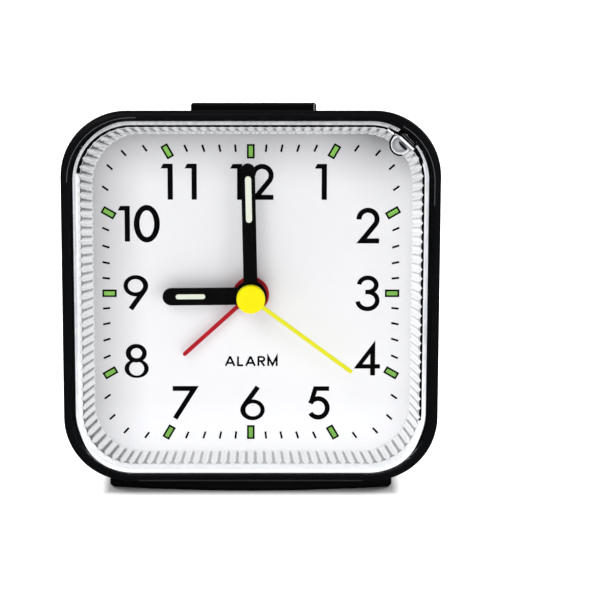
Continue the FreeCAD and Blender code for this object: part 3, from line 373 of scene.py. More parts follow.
# painted shade: black for gaps, the groove, the lamp's pocket and the ring's outer wall, where there is
# only shade
PAINTED_GAP_SHADE = moulded("painted_gap_shade", (0.0015, 0.0015, 0.002), 0.7, 0.3, 0.003, 0.08, 0.1)
# white plastic with a painted glow
WHITE_PAINTED_LIGHT = moulded("white_painted_light", (0.88, 0.89, 0.90), 0.25, 0.9, 0.008, 0.04, 0.5, 0.32)
CHIP_GLOSS = moulded("chip_gloss", (0.01, 0.01, 0.012), 0.08, 0.9, 0.004)
# painted reflections and highlights: streaks by the lamp, and glints on the rim's foot, the snooze bar and
# the rim's inner edge
REFLECTION_STREAK_GREY = moulded("reflection_streak_grey", (0.30, 0.31, 0.33), 0.25, 0.5, 0.004, 0.15)
FOOT_GLINT_GREY = moulded("foot_glint_grey", (0.022, 0.023, 0.026), 0.4, 0.5, 0.004, 0.15)
SHEEN_GREY = moulded("sheen_grey", (0.42, 0.42, 0.43), 0.35, 0.5, 0.004, 0.15)
RIM_GLINT_GREY = moulded("rim_glint_grey", (0.11, 0.112, 0.12), 0.3, 0.5, 0.004, 0.15)
# the lamp collar's grey, with a painted glow
LAMP_GREY = moulded("lamp_grey", (0.46, 0.47, 0.49), 0.25, 0.6, 0.006, 0.12, 0.5, 0.12)


def paint_cad_pieces():
    """Every piece that stays from the CAD gets the finish named after its material slot."""
    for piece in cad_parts.values():
        for holder in piece.material_slots:
            holder.material = FINISHES[holder.material.name.split(".")[0]]


# ------------------------------------------------------------------ mesh helpers
def make_piece(name, points, faces, material, body="root", smooth=False):
    """A mesh from points in metres and faces, which rides on a body."""
    mesh = bpy.data.meshes.new(name)
    mesh.from_pydata(points, [], faces)
    mesh.materials.append(material)
    mesh.update()
    piece = bpy.data.objects.new(name, mesh)
    bpy.context.scene.collection.objects.link(piece)
    if smooth:
        mesh.shade_smooth()
    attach(piece, body)
    return piece


def counter_clockwise(outline):
    area = sum(a[0] * b[1] - b[0] * a[1] for a, b in zip(outline, outline[1:] + outline[:1]))
    return outline if area > 0 else outline[::-1]


def raised_print(name, outlines, material, low, high, body="root"):
    """A closed solid on the dial whose plan is all the outlines joined, from one height to another."""
    points, faces = [], []
    for outline in outlines:
        faces.append(list(range(len(points), len(points) + len(outline))))
        points += [Vector(p) for p in counter_clockwise(list(outline))]
    plan, _, triangles, _, _, owners = delaunay_2d_cdt(points, [], faces, 1, 1e-5)
    triangles = [triangle for triangle, owner in zip(triangles, owners) if owner]
    count = len(plan)
    solid_points = [at_dial(p.x, p.y, level) for level in (high, low) for p in plan]
    edges = [edge for a, b, c in triangles for edge in ((a, b), (b, c), (c, a))]
    shared = {(b, a) for a, b in edges}
    solid_faces = [tuple(t) for t in triangles]
    solid_faces += [tuple(count + i for i in reversed(t)) for t in triangles]
    solid_faces += [(b, a, count + a, count + b) for a, b in edges if (a, b) not in shared]
    return make_piece(name, solid_points, solid_faces, material, body)


def arc(x, z, radius_x, radius_z, start, end, step=6.0):
    """Points along an ellipse, with angles in degrees counter-clockwise from the right."""
    count = max(int(abs(end - start) / step), 2)
    turns = [math.radians(start + (end - start) * i / count) for i in range(count + 1)]
    return [(x + radius_x * math.cos(t), z + radius_z * math.sin(t)) for t in turns]


def stroke(points, width):
    """Quads along a bent line with mitred corners."""
    line = [Vector(p) for p in points]
    runs = [(b - a).normalized() for a, b in zip(line, line[1:])]
    sides = []
    for index, point in enumerate(line):
        before = runs[max(index - 1, 0)]
        after = runs[min(index, len(runs) - 1)]
        first, second = Vector((-before.y, before.x)), Vector((-after.y, after.x))
        offset = (first + second) / (1 + first.dot(second)) * width / 2
        sides.append((point + offset, point - offset))
    return [[a, b, d, c] for (a, b), (c, d) in zip(sides, sides[1:])]


def ring(x, z, outer, inner, inner_x=0.0):
    """Quads between two ellipses, each given by its two radii; the inner one may lie off centre."""
    outside = arc(x, z, *outer, 0.0, 360.0)
    inside = arc(x + inner_x, z, *inner, 0.0, 360.0)
    return between(outside, inside)


def placed(outlines, x, z, clockwise=0.0):
    """Outlines turned by degrees about their own centre and moved to a point."""
    turn = math.radians(clockwise)
    sine, cosine = math.sin(turn), math.cos(turn)
    return [[(x + p[0] * cosine + p[1] * sine, z - p[0] * sine + p[1] * cosine) for p in outline]
            for outline in outlines]


def rectangle(width, height):
    return [[(-width / 2, -height / 2), (width / 2, -height / 2),
             (width / 2, height / 2), (-width / 2, height / 2)]]


def between(outer, inner):
    """Quads between two lines with as many points."""
    return [[a, b, d, c] for a, b, c, d in zip(outer, outer[1:], inner, inner[1:])]


# ------------------------------------------------------------------ numerals
# each is drawn about its own centre
TALL = 3.85                  # half height of a numeral
LINE = 1.08                  # stroke width
STEM, FLAG = 1.12, 2.6       # width of the 1's stem, and reach of its flag from the stem's right edge


def digit_0():
    return ring(0.0, 0.0, (2.78, 4.05), (1.56, 2.88))


def digit_1(right=0.56):
    """The stem's right edge lies at right."""
    under = 2.85
    return [[(right, TALL), (right, -TALL), (right - STEM, -TALL), (right - STEM, under)],
            [(right, TALL), (right - STEM, under), (right - FLAG, under), (right - FLAG + 0.55, TALL)]]


def digit_2():
    bend = 39.0
    bowl = arc(0.05, 1.39, 1.92, 1.92, 182.0, -bend)
    base = -TALL + LINE / 2
    fall = (bowl[-1][1] - base) * math.tan(math.radians(bend))
    return stroke(bowl + [(bowl[-1][0] - fall, base), (2.48, base)], LINE)


def digit_3():
    middle = 0.28
    top = arc(0.03, 1.83, 1.83, 1.55, 176.0, -90.0) + [(-0.48, middle)]
    low = [(-0.48, middle)] + arc(0.0, -1.57, 2.10, 1.85, 90.0, -174.0)
    return stroke(top, 0.98) + stroke(low, 0.98)


def digit_4():
    near, far = 0.716, 1.778                # the stem's two edges
    end, top, foot = 2.84, -1.38, -2.33     # the bar's half length and its two edges
    stem = [(1.25, 2.0), (far, TALL), (far, -TALL), (near, -TALL), (near, 2.0)]
    slant = [(far, TALL + 0.03), (-end, foot), (-1.636, foot), (far, 2.325)]
    bar = [(-end, foot), (-2.1, top), (end, top), (end, foot)]
    return [stem, slant, bar]


def digit_5():
    top = 3.18
    bowl = arc(-0.15, -1.12, 1.98, 2.07, 150.0, -147.0)
    return stroke([(2.22, top), (-0.76, top), (-1.72, -0.14)], 1.0) + stroke(bowl, 1.06)


def digit_6():
    loop = ring(0.0, -1.54, (2.65, 2.32), (1.62, 1.45), 0.09)
    return loop + stroke([(1.14, 3.55), (-1.70, -0.46)], LINE)


def digit_7():
    top = 3.2
    return stroke([(-2.78, top), (1.90, top), (-2.26, -3.46)], LINE)


def digit_8():
    return (ring(-0.06, 1.70, (2.27, 2.04), (1.20, 1.13), 0.06)
            + ring(0.0, -1.68, (2.61, 2.08), (1.61, 1.56)))


def digit_9():
    return placed(digit_6(), 0.0, 0.0, 180.0)


def numeral_12():
    return digit_1(-2.0) + placed(digit_2(), 2.14, 0.0)


def numeral_11():
    return digit_1(-1.25) + digit_1(3.84)


def numeral_10():
    return digit_1(-2.0) + placed(digit_0(), 1.6, 0.0)


# each numeral with the place of its centre
NUMERALS = [
    (numeral_12, 0.2, 24.1), (digit_1, 15.6, 24.1), (digit_2, 24.9, 14.7), (digit_3, 25.0, 0.0),
    (digit_4, 25.0, -14.2), (digit_5, 14.7, -24.15), (digit_6, 0.37, -24.15), (digit_7, -14.1, -24.15),
    (digit_8, -24.6, -14.85), (digit_9, -24.6, 0.1), (numeral_10, -23.75, 15.1), (numeral_11, -15.3, 24.15),
]

# ------------------------------------------------------------------ dial printing
PRINT = 0.02                 # height of the ink above the dial
MARKER_WIDTH, MARKER_LENGTH, MARKER_BORDER = 1.64, 3.08, 0.39
MARKER_ACROSS, MARKER_UP = 30.26, 30.65
TRACK_HALF, TRACK_CORNER = 31.3, 7.9
TICK_LENGTH, TICK_WIDTH = 1.6, 0.43
TRACK_NARROWING = 0.988      # the track is a little narrower than it is high


def reach_of_square(sine, cosine, half, corner):
    """Distance from the centre to a rounded square in one direction."""
    sine, cosine, inner = abs(sine), abs(cosine), half - corner
    straight = half / max(sine, cosine)
    if straight * min(sine, cosine) <= inner:
        return straight
    return inner * (sine + cosine) + math.sqrt(corner ** 2 - (inner * (sine - cosine)) ** 2)


def dial_printing():
    """The numerals, the minute track and the framed green hour markers."""
    numerals = []
    for shape, x, z in NUMERALS:
        numerals += placed(shape(), x, z)
    raised_print("dial_numerals", numerals, INK, 0.0, PRINT)
    ticks, frames, fills = [], [], []
    border = 2 * MARKER_BORDER
    for minute in range(60):
        clockwise = minute * 6.0
        sine, cosine = math.sin(math.radians(clockwise)), math.cos(math.radians(clockwise))
        if minute % 5:
            reach = reach_of_square(sine, cosine, TRACK_HALF, TRACK_CORNER)
            x, z = reach * sine * TRACK_NARROWING, reach * cosine
            ticks += placed(rectangle(TICK_WIDTH, TICK_LENGTH), x, z, clockwise)
            continue
        reach = min(MARKER_ACROSS / max(abs(sine), 1e-6), MARKER_UP / max(abs(cosine), 1e-6))
        x, z = reach * sine, reach * cosine
        frames += placed(rectangle(MARKER_WIDTH, MARKER_LENGTH), x, z, clockwise)
        fill = rectangle(MARKER_WIDTH - border, MARKER_LENGTH - border)
        fills += placed(fill, x, z, clockwise)
    raised_print("minute_track", ticks, INK, 0.0, PRINT)
    raised_print("marker_frames", frames, INK, 0.0, PRINT)
    raised_print("marker_fills", fills, MARKER_GREEN, PRINT, 3 * PRINT)


# a plain word under the centre, in capitals; each letter gives its strokes and its width
WORD_CENTRE = (0.15, -14.9)
CAP_HEIGHT, CAP_LINE = 2.1, 0.42
CAP_EDGE = 0.14              # a stem's middle line, from the letter's left edge
CAP_GAP = 0.62


def letter_a():
    half, inset, bar = 0.95, 0.35, 0.65
    strokes = stroke([(0.0, 0.0), (half, CAP_HEIGHT)], CAP_LINE)
    strokes += stroke([(2 * half, 0.0), (half, CAP_HEIGHT)], CAP_LINE)
    return strokes + stroke([(inset, bar), (2 * half - inset, bar)], CAP_LINE), 2 * half


def letter_l():
    width, foot = 1.25, 0.13
    return stroke([(CAP_EDGE, CAP_HEIGHT), (CAP_EDGE, foot), (width, foot)], CAP_LINE), width


def letter_r():
    radius, drop = 0.45, 0.13
    stem = stroke([(CAP_EDGE, 0.0), (CAP_EDGE, CAP_HEIGHT)], CAP_LINE)
    round_part = arc(0.95, CAP_HEIGHT - drop - radius, radius, radius, 90.0, -90.0)
    bowl = [(0.0, CAP_HEIGHT - drop)] + round_part + [(0.0, CAP_HEIGHT - drop - 2 * radius)]
    leg = stroke([(0.75, 0.9), (1.45, 0.0)], CAP_LINE)
    return stem + stroke(bowl, CAP_LINE) + leg, 1.5


def letter_m():
    middle, far, top = 1.05, 1.96, CAP_HEIGHT - 0.1
    zigzag = [(CAP_EDGE, 0.0), (CAP_EDGE, top), (middle, 0.25), (far, top), (far, 0.0)]
    return stroke(zigzag, CAP_LINE), 2 * middle


def dial_word():
    outlines, cursor = [], 0.0
    for letter in (letter_a, letter_l, letter_a, letter_r, letter_m):
        strokes, width = letter()
        outlines += placed(strokes, cursor, 0.0)
        cursor += width + CAP_GAP
    start = WORD_CENTRE[0] - (cursor - CAP_GAP) / 2
    base = WORD_CENTRE[1] - CAP_HEIGHT / 2
    raised_print("dial_word", placed(outlines, start, base), INK, 0.0, PRINT)


# ------------------------------------------------------------------ fluted ring
ARC_CENTRE = 25.1            # centres of the corner arcs
CUSP_HALF = 36.45            # where the flutes' cusps lie at the top of the ring
DIAL_SCALE = 0.948           # the ring narrows to this at the dial
FLUTES = 136
FLUTE_DEPTH_TOP, FLUTE_DEPTH_DIAL = 0.42, 0.26
FLUTE_COLUMNS = 10           # columns of points across a flute
FLUTE_ROWS = (0.0, 0.03, 0.08, 0.15, 0.25, 0.4, 0.55, 0.7, 0.82, 0.92, 1.0)    # from top to dial
LIP = 0.13                   # the lip's reach beyond the cusps
GROOVE = 0.39                # from the cusps to the white ring
GROOVE_OVERLAP = 0.05        # the groove's filling reaches this much under the lip
GROOVE_LOW, GROOVE_HIGH = -0.5, -0.2     # its heights from the ring's top
RING_NARROWING = 0.996       # the ring is a little narrower than it is high
LEFT_FOOT = 0.7              # its left side reaches this much further onto the dial
FOOT_STRETCH = 0.0105        # its foot lies lower by this share
DARK_DOWN, DARK_LEFT = 27.0, 26.5    # ends of the groove's painted shade, along the sides
RING_TOP = height_of("light_guide_ring")
LAMP = (31.45, 32.63)        # the lamp's centre
POCKET = 2.22                # radius of the lamp's pocket
RIM_EDGE = 38.6              # outer edge of the rim's inner slope
CASE_HALF = 40.0             # half the width of the case's front
FLANGE_REACH = 1.2           # the snooze bar's flange, beyond its cap
DOME_PROFILE = (             # shares of its radius and height, from the hollow's crown round to the top
    (0.35, 0.73), (0.55, 0.66), (0.70, 0.0), (1.0, 0.0), (1.0, 0.06), (0.90, 0.14), (0.82, 0.45),
    (0.70, 0.90), (0.65, 0.97), (0.58, 1.0),
)
SIDE = 2 * ARC_CENTRE
CORNER = CUSP_HALF - ARC_CENTRE      # radius of the cusps' corner arcs
QUARTER = SIDE + CORNER * math.pi / 2    # a quarter of the way round, from one side's middle to the next
LAMP_PLACE = QUARTER / 2     # place of the lamp along the ring, from twelve
LAMP_BREAK = 2.2             # half length of the ring's break at the lamp


def along_outline(distance):
    """Point and outward direction on the cusps' rounded square, clockwise from twelve."""
    quarter, rest = divmod(distance + SIDE / 2, QUARTER)
    if rest <= SIDE:
        x, z, out_x, out_z = rest - ARC_CENTRE, CUSP_HALF, 0.0, 1.0
    else:
        turn = (rest - SIDE) / CORNER
        out_x, out_z = math.sin(turn), math.cos(turn)
        x, z = ARC_CENTRE + CORNER * out_x, ARC_CENTRE + CORNER * out_z
    for _ in range(int(quarter) % 4):
        x, z, out_x, out_z = z, -x, out_z, -out_x
    return x, z, out_x, out_z


def smooth_step(value, start, end):
    """Rises smoothly from 0 to 1 as the value goes from start to end."""
    share = np.clip((value - start) / (end - start), 0.0, 1.0)
    return share * share * (3 - 2 * share)


def bump_at(value, middle, inner, outer):
    """1 within inner of the middle, fading to 0 at outer."""
    return 1 - smooth_step(abs(value - middle), inner, outer)


def flute_shade(across, down, x, z):
    """Painted shade on the ring: across is -1 to 1 over a flute, down is 0 at its top and 1 at the dial."""
    radius = math.hypot(x, z)
    at_left, at_right = smooth_step(-x / radius, 0.35, 0.9), smooth_step(x / radius, 0.35, 0.9)
    at_top, at_foot = smooth_step(z / radius, 0.35, 0.9), smooth_step(-z / radius, 0.3, 0.9)
    root = 1 - smooth_step(down, 0.0, 0.16)
    # painted shade: dark strips down each flute, more strips and marks at the top and the left, and veils
    # over the top, the left and the right
    width = 0.17 + 0.14 * at_foot + 0.10 * at_left + 0.33 * root
    fade = 1 - smooth_step(down, 0.80, 1.0)
    strip = bump_at(across, 0.0, width * 0.55, width * 1.45)
    strength = 0.20 + 0.34 * at_foot + 0.40 * at_left + 0.10 * at_top + 0.26 * at_right
    veil = 0.20 * at_left * (1 - 0.6 * down) + 0.43 * at_top * (1 - 0.25 * down) + 0.08 * at_right
    second = 0.22 * at_left * bump_at(across, -0.55, 0.08, 0.2)
    weave = 0.26 * at_top * bump_at(abs(across), 1.1 * down, 0.1, 0.3)
    bead = 0.25 * at_top * bump_at(across, 0.3, 0.1, 0.35) * bump_at(down, 0.3, 0.05, 0.2)
    return float(min((strip * strength + second + weave) * fade + veil + bead, 1.0))


def ring_columns():
    """Place along the ring, point, outward direction and place across the flute, right round."""
    start, end = LAMP_PLACE + LAMP_BREAK, LAMP_PLACE - LAMP_BREAK + 4 * QUARTER
    pitch = 4 * QUARTER / FLUTES
    count = int((end - start) / pitch * FLUTE_COLUMNS)
    columns = []
    for index in range(count + 1):
        distance = start + (end - start) * index / count
        across = 2 * (distance / pitch % 1.0) - 1
        columns.append((distance, *along_outline(distance), across))
    return columns


def lip_inset(x, z, across):
    """How far the lip's outer edge lies inside the cusps; it is nearly straight along the top."""
    straight = smooth_step(z / CUSP_HALF, 0.75, 0.95)
    arch = math.sqrt(max(1 - across * across, 0.0))
    return FLUTE_DEPTH_TOP * arch * (1 - 0.7 * straight) - LIP * (1 - straight)


def sunk(z):
    """The ring sits a little low in its groove at the foot."""
    return z * (1 + FOOT_STRETCH * smooth_step(-z / CUSP_HALF, 0.0, 1.0))


def fluted_ring():
    """The clear ring of flutes between the dial and the white ring, with its break at the lamp."""
    points, shade = [], []
    for _, x, z, out_x, out_z, across in ring_columns():
        arch = math.sqrt(max(1 - across * across, 0.0))
        for down in FLUTE_ROWS:
            scale = 1 - (1 - DIAL_SCALE) * down
            bulge = arch * (FLUTE_DEPTH_TOP + (FLUTE_DEPTH_DIAL - FLUTE_DEPTH_TOP) * down)
            px, pz = x * scale - out_x * bulge, z * scale - out_z * bulge
            px += LEFT_FOOT * down * smooth_step(-x / CUSP_HALF, 0.6, 0.95)
            points.append(at_dial(px * RING_NARROWING, sunk(pz), RING_TOP * (1 - down)))
            shade.append(flute_shade(across, down, x, z))
        inset = lip_inset(x, z, across)
        for height in (0.0, RING_TOP):
            points.append(at_dial((x - out_x * inset) * RING_NARROWING, sunk(z - out_z * inset), height))
            shade.append(0.0)
    levels = len(FLUTE_ROWS) + 2
    columns = len(points) // levels
    faces = [tuple(range(levels)), tuple(reversed(range((columns - 1) * levels, columns * levels)))]
    wall = []
    for column in range(columns - 1):
        for level in range(levels):
            below = (level + 1) % levels
            if level == levels - 2:
                wall.append(len(faces))
            here, after = column * levels, (column + 1) * levels
            faces.append((here + level, after + level, after + below, here + below))
    piece = make_piece("fluted_guide_ring", points, faces, GUIDE, smooth=True)
    # the lip's outer wall is black, a painted shade for the groove behind it
    piece.data.materials.append(PAINTED_GAP_SHADE)
    for index in wall:
        piece.data.polygons[index].material_index = 1
    # the shade value carries the ring's painted shade to its material
    attribute = piece.data.attributes.new("shade", "FLOAT", "POINT")
    attribute.data.foreach_set("value", shade)
    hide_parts("light_guide_ring")


def groove_fill(name, start, end, material):
    """A strip in the groove between the flutes' lip and the white ring round them, of painted shade where
    dark and painted light where white.
    """
    inner, outer = [], []
    for distance, x, z, out_x, out_z, across in ring_columns():
        if start <= distance <= end:
            inset = lip_inset(x, z, across) + GROOVE_OVERLAP
            inner.append(((x - inset * out_x) * RING_NARROWING, sunk(z - inset * out_z)))
            outer.append((x + GROOVE * out_x, z + GROOVE * out_z))
    raised_print(name, between(outer, inner), material, RING_TOP + GROOVE_LOW, RING_TOP + GROOVE_HIGH)


def grooves():
    """Painted shade over the top and down the right side, glowing painted light along the foot and the left
    side.
    """
    right_foot = QUARTER + DARK_DOWN
    left = 3 * QUARTER + DARK_LEFT
    groove_fill("groove_painted_shade_right", 0.0, right_foot, PAINTED_GAP_SHADE)
    groove_fill("groove_light", right_foot, left, WHITE_PAINTED_LIGHT)
    groove_fill("groove_painted_shade_left", left, 5 * QUARTER, PAINTED_GAP_SHADE)


def outline_band(name, material, start, end, low, high, reach):
    """A strip along the outline; reach gives its two edges' distances from the dial's middle lines."""
    inner, outer = [], []
    steps = max(int((end - start) * 2.0), 4)     # a point every half millimetre
    for index in range(steps + 1):
        x, z, nx, nz = along_outline(start + (end - start) * index / steps)
        for line, away in zip((inner, outer), reach(nx, nz)):
            line.append((x + (away - CUSP_HALF) * nx, z + (away - CUSP_HALF) * nz))
    raised_print(name, between(outer, inner), material, low, high)


LINING_LINE, LINING_WIDE = 0.02, 0.78    # the white painted reflection's width at its ends, and how much it grows
EDGE_LINE, EDGE_WIDE = 0.05, 0.34        # the same for the dark painted reflection at the sides
WINDOW_LOW, LINING_HIGH, EDGE_HIGH = 0.05, 1.88, 1.6    # their heights above the ring's top


def window_edges():
    """Painted reflections of the crystal's foot: white along the lower wall of the opening and dark at the
    sides.
    """
    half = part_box("crystal")[1].x / MM - DIAL_X / MM

    def below(nx, nz):
        inner = half - 0.62
        return inner, inner + LINING_LINE + LINING_WIDE * smooth_step(-nz, 0.30, 0.9)

    def beside(nx, nz):
        outer = half + 0.07
        return outer - EDGE_LINE - EDGE_WIDE * smooth_step(abs(nx), 0.2, 0.95), outer

    outline_band("window_white_reflection", WHITE_PAINTED_LIGHT, 1.2 * QUARTER, 2.8 * QUARTER,
                 RING_TOP + WINDOW_LOW, RING_TOP + LINING_HIGH, below)
    outline_band("window_edge", PAINTED_GAP_SHADE, 0.0, 4 * QUARTER,
                 RING_TOP + WINDOW_LOW, RING_TOP + EDGE_HIGH, beside)


def spacer_lip():
    """The white ring reaches a little further in along the right side."""
    edge, extra = CUSP_HALF + GROOVE, 0.21

    def reach(nx, nz):
        return edge - 0.01 - extra * smooth_step(nx, 0.3, 0.95), edge + 0.03

    # glowing white, a painted light
    outline_band("spacer_lip", WHITE_PAINTED_LIGHT, LAMP_PLACE + LAMP_BREAK + 1.5, 1.6 * QUARTER,
                 RING_TOP - 0.4, RING_TOP - 0.03, reach)


def snooze_glint():
    """A painted highlight where the right end of the snooze bar's front edge catches the light."""
    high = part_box("snooze_bar")[1]
    right = (high.x - DIAL_X) / MM - FLANGE_REACH
    top = (high.z - DIAL_Z) / MM
    height = height_of("snooze_bar") - 0.8      # of the cap's front, behind the flange's
    line = [(right - 0.40, top - 1.7), (right - 0.44, top - 0.22)]
    width, sunk_in, proud = 0.34, 0.2, 0.02
    raised_print("snooze_glint", stroke(line, width), SHEEN_GREY,
                 height - sunk_in, height + proud, "snooze")


def silicone_dome():
    """The hollow dome under the snooze bar's stem, in its resting shape."""
    low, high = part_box("snooze_dome")
    middle, radius, tall = (low + high) / 2, (high.x - low.x) / 2, high.z - low.z
    turns = [math.radians(10.0 * step) for step in range(36)]
    points = []
    for share, level in DOME_PROFILE:
        for turn in turns:
            x = middle.x + share * radius * math.cos(turn)
            y = middle.y + share * radius * math.sin(turn)
            points.append(Vector((x, y, low.z + level * tall)))
    count = len(turns)
    faces = [tuple(reversed(range(count))), tuple(range(len(points) - count, len(points)))]
    for row in range(len(DOME_PROFILE) - 1):
        for index in range(count):
            here, after = row * count + index, row * count + (index + 1) % count
            faces.append((here, after, after + count, here + count))
    dome = make_piece("silicone_dome", points, faces, FINISHES["silicone"], smooth=True)
    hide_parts("snooze_dome")
    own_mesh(dome)


def foot_glint():
    """A painted highlight: a faint light line along the rounded lower edge of the rim, above the plinth."""
    level, width = 0.32 - CASE_HALF, 0.45
    line = [(x, level) for x in (-24.0, -12.0, 0.0, 12.0, 24.0)]
    height = height_of("front_case")
    raised_print("foot_glint", stroke(line, width), FOOT_GLINT_GREY, height - 0.5, height - 0.3)


WALL_WIDTH, COLLAR_INNER, RIM_WIDTH = 0.20, 1.3, 0.36
RIM_LEAD = [(30.15, 35.1), (29.2, 33.25)]    # the rim's straight start at the white ring
CUT, CUT_WIDTH = [(28.7, 35.95), (30.0, 34.85)], 0.26
SEAM, SEAM_WIDTH = [(28.9, 36.35), (30.5, 35.2)], 0.42
BAR, BAR_WIDTH = [(31.33, 34.23), (34.21, 31.54)], 0.42
BAR_LINES, BAR_LINE_WIDTH = (-0.30, -0.48), 0.07
GAP_START, GAP_END = (31.2, 34.5), (33.9, 31.8)
GAP_LINES, GAP_LINE_WIDTH = ((0.45, 0.1), (0.75, 0.3), (1.05, 0.55)), 0.09   # offset and shortening
CORE, CORE_LONG, CORE_SHORT, CORE_TURN = (31.92, 32.46), 1.22, 0.42, 48.0
GAP_OUTLINE = [
    (30.4, 34.9), (30.6, 35.4), (31.2, 36.3), (31.6, 37.0), (33.2, 36.1), (34.4, 35.1), (35.4, 33.9),
    (35.7, 33.0), (34.9, 32.3), (34.2, 31.5), (31.4, 34.3),
]
WEDGE_OUTLINE = [
    (33.95, 31.4), (34.75, 32.1), (35.5, 30.9), (36.15, 29.4), (36.3, 28.5), (35.95, 28.9), (35.5, 29.7),
    (34.8, 30.6),
]


def lamp_corner():
    """The pocket's wall and dark rim, the bright bar beside the lamp, and the dark gap behind it: dark
    pieces are painted shade, white ones glow with painted light, grey streaks are painted reflections.
    """
    x, z = LAMP
    top = RING_TOP
    wall = arc(x, z, POCKET - 0.24, POCKET - 0.24, 110.0, 330.0)
    raised_print("lamp_pocket_wall", stroke(wall, WALL_WIDTH), WHITE_PAINTED_LIGHT, 0.0, top - 0.1)
    # the collar's grey glows a little, a painted light
    collar = ring(x, z, (POCKET - 0.35, POCKET - 0.35), (COLLAR_INNER, COLLAR_INNER))
    raised_print("lamp_collar", collar, LAMP_GREY, 0.9, 2.5)
    rim = stroke(RIM_LEAD + arc(x, z, POCKET, POCKET, 170.0, 278.0), RIM_WIDTH)
    raised_print("lamp_pocket_rim", rim, PAINTED_GAP_SHADE, top - 0.4, top)
    raised_print("lamp_cut", stroke(CUT, CUT_WIDTH), WHITE_PAINTED_LIGHT, top - 0.4, top + 0.01)
    raised_print("lamp_seam", stroke(SEAM, SEAM_WIDTH), PAINTED_GAP_SHADE, top - 0.4, top)
    raised_print("lamp_gap", [GAP_OUTLINE], PAINTED_GAP_SHADE, 0.0, top - 0.7)
    raised_print("lamp_wedge", [WEDGE_OUTLINE], PAINTED_GAP_SHADE, top - 0.3, top + 0.02)
    raised_print("lamp_bar", stroke(BAR, BAR_WIDTH), WHITE_PAINTED_LIGHT, 0.0, top + 0.02)
    # painted reflections: grey streaks along the bar and across the gap
    streaks = []
    for offset in BAR_LINES:
        streaks += stroke([(px + offset, pz + offset) for px, pz in BAR], BAR_LINE_WIDTH)
    raised_print("lamp_bar_lines", streaks, REFLECTION_STREAK_GREY, top - 0.3, top)
    streaks = []
    for offset, shorter in GAP_LINES:
        start = (GAP_START[0] + offset + shorter, GAP_START[1] + offset - shorter)
        end = (GAP_END[0] + offset - shorter, GAP_END[1] + offset + shorter)
        streaks += stroke([start, end], GAP_LINE_WIDTH)
    raised_print("lamp_gap_lines", streaks, REFLECTION_STREAK_GREY, top - 0.7, top - 0.5)
    core = placed([arc(0.0, 0.0, CORE_LONG, CORE_SHORT, 0.0, 354.0)], *CORE, CORE_TURN)
    raised_print("lamp_core", core, CHIP_GLOSS, 1.0, top - 0.05)


def rim_glints():
    """Painted highlights where the sharp edge round the rim's inner slope catches the light at two corners.
    """
    height, half_width = height_of("front_case"), 0.065
    left, right = 3.5 * QUARTER, 0.5 * QUARTER      # the upper corners' places along the outline

    def reach(nx, nz):
        return RIM_EDGE - half_width, RIM_EDGE + half_width

    outline_band("rim_glint_left", RIM_GLINT_GREY, left - 9.0, left + 10.0,
                 height - 0.1, height + 0.01, reach)
    outline_band("rim_glint_right", RIM_GLINT_GREY, right - 3.0, right + 14.0,
                 height - 0.1, height + 0.01, reach)


# ------------------------------------------------------------------ studio
VIEW_ELEVATION = 11.2        # degrees above the dial's axis
VIEW_DISTANCE = 0.51765      # from the dial's centre, in metres
LENS, SENSOR = 145.0, 36.0   # focal length and sensor width
FRAMING_X, FRAMING_Y = 0.082, -0.0112    # the camera's shift
FLOOR_HALF = 3.0             # in metres
GLOW_FULL = 0.008            # how far from the foot the floor's painted glow is full, in metres
GLOW_RATE = (3.0, 1.7, 0.0)  # how much sooner beyond the foot's ends and in front of it
SOFTBOXES = (                # name, place and width in metres, and power in watts
    ("key", (-0.50, -1.10, 0.92), 1.05, 7.7),
    ("fill", (0.85, -1.00, 0.20), 0.60, 1.8),
    ("overhead", (0.0, 0.15, 0.90), 0.80, 0.6),
    ("rear_left", (-0.45, 0.60, 0.35), 0.50, 4.0),
    ("rear_right", (0.50, 0.55, 0.40), 0.50, 4.0),
)


def aimed(thing, place, target):
    """Puts a camera or a light at a place, looking at a target."""
    thing.location = place
    thing.rotation_mode = "QUATERNION"
    thing.rotation_quaternion = (Vector(target) - Vector(place)).to_track_quat("-Z", "Y")
    bpy.context.scene.collection.objects.link(thing)
    return thing


def camera():
    """The photo's view: straight in front and a little above."""
    data = bpy.data.cameras.new("camera")
    data.lens = LENS
    data.sensor_width = SENSOR
    data.shift_x, data.shift_y = FRAMING_X, FRAMING_Y
    data.clip_start = 0.01
    target = at_dial(0.0, 0.0)
    rise = math.radians(VIEW_ELEVATION)
    place = target + VIEW_DISTANCE * Vector((0.0, -math.cos(rise), math.sin(rise)))
    bpy.context.scene.camera = aimed(bpy.data.objects.new("camera", data), place, target)


def softbox(name, place, size, power):
    """A round soft light that faces the dial."""
    data = bpy.data.lights.new(name, "AREA")
    data.shape = "DISK"
    data.size = size
    data.energy = power
    aimed(bpy.data.objects.new(name, data), place, at_dial(0.0, 0.0))


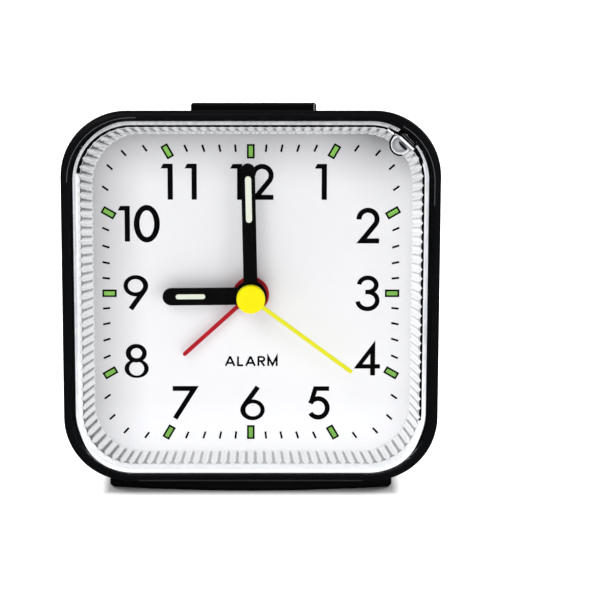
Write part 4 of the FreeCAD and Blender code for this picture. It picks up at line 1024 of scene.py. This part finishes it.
def floor():
    """A pale floor whose painted glow brightens it away from the clock into the white around it; near the
    foot the glow fades, leaving its real shading and shadow.
    """
    material, tree, shader = new_material("floor")
    cloud = noise(tree, 120.0, 2.0)
    put(tree, shader.inputs["Base Color"], blend(tree, cloud, (0.90, 0.90, 0.90), (0.93, 0.93, 0.93)))
    put(tree, shader.inputs["Roughness"], 0.9)
    put(tree, shader.inputs["Emission Color"], (1.0, 1.0, 1.0))
    foot_low, foot_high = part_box("base_plinth")
    middle, half = (foot_low + foot_high) / 2, (foot_high - foot_low) / 2
    nothing = Vector((0.0, 0.0, 0.0))
    place = add_node(tree, "ShaderNodeTexCoord", {}).outputs["Object"]
    aside = vectors(tree, "ABSOLUTE", vectors(tree, "SUBTRACT", place, middle), nothing)
    outside = vectors(tree, "MAXIMUM", vectors(tree, "SUBTRACT", aside, half), nothing)
    away = vectors(tree, "LENGTH", vectors(tree, "MULTIPLY", outside, Vector(GLOW_RATE)), nothing, "Value")
    put(tree, shader.inputs["Emission Strength"], spread(tree, away, 0.0, 1.0, 0.0, GLOW_FULL))
    mesh = bpy.data.meshes.new("floor")
    corners = [(x * FLOOR_HALF, y * FLOOR_HALF, 0.0) for x, y in ((-1, -1), (1, -1), (1, 1), (-1, 1))]
    mesh.from_pydata(corners, [], [(0, 1, 2, 3)])
    mesh.materials.append(material)
    sheet = bpy.data.objects.new("floor", mesh)
    sheet.location.z = cad_low.z
    bpy.context.scene.collection.objects.link(sheet)
    sheet.visible_glossy = False


def surroundings():
    """White behind the clock, and dim light from all round."""
    world = bpy.data.worlds.new("studio")
    world.use_nodes = True
    tree = world.node_tree
    path = add_node(tree, "ShaderNodeLightPath", {})
    ambient = add_node(tree, "ShaderNodeMix", {0: path.outputs["Is Glossy Ray"], 2: 0.10, 3: 0.02})
    amount = add_node(tree, "ShaderNodeMix",
                      {0: path.outputs["Is Camera Ray"], 2: ambient.outputs[0], 3: 1.0})
    put(tree, tree.nodes["Background"].inputs["Strength"], amount.outputs[0])
    put(tree, tree.nodes["Background"].inputs["Color"], (1.0, 1.0, 1.0))
    bpy.context.scene.world = world
    bpy.context.scene.view_settings.view_transform = "Standard"


camera()
paint_cad_pieces()
dial_printing()
dial_word()
fluted_ring()
grooves()
window_edges()
spacer_lip()
snooze_glint()
silicone_dome()
foot_glint()
lamp_corner()
rim_glints()
floor()
surroundings()
for box in SOFTBOXES:
    softbox(*box)
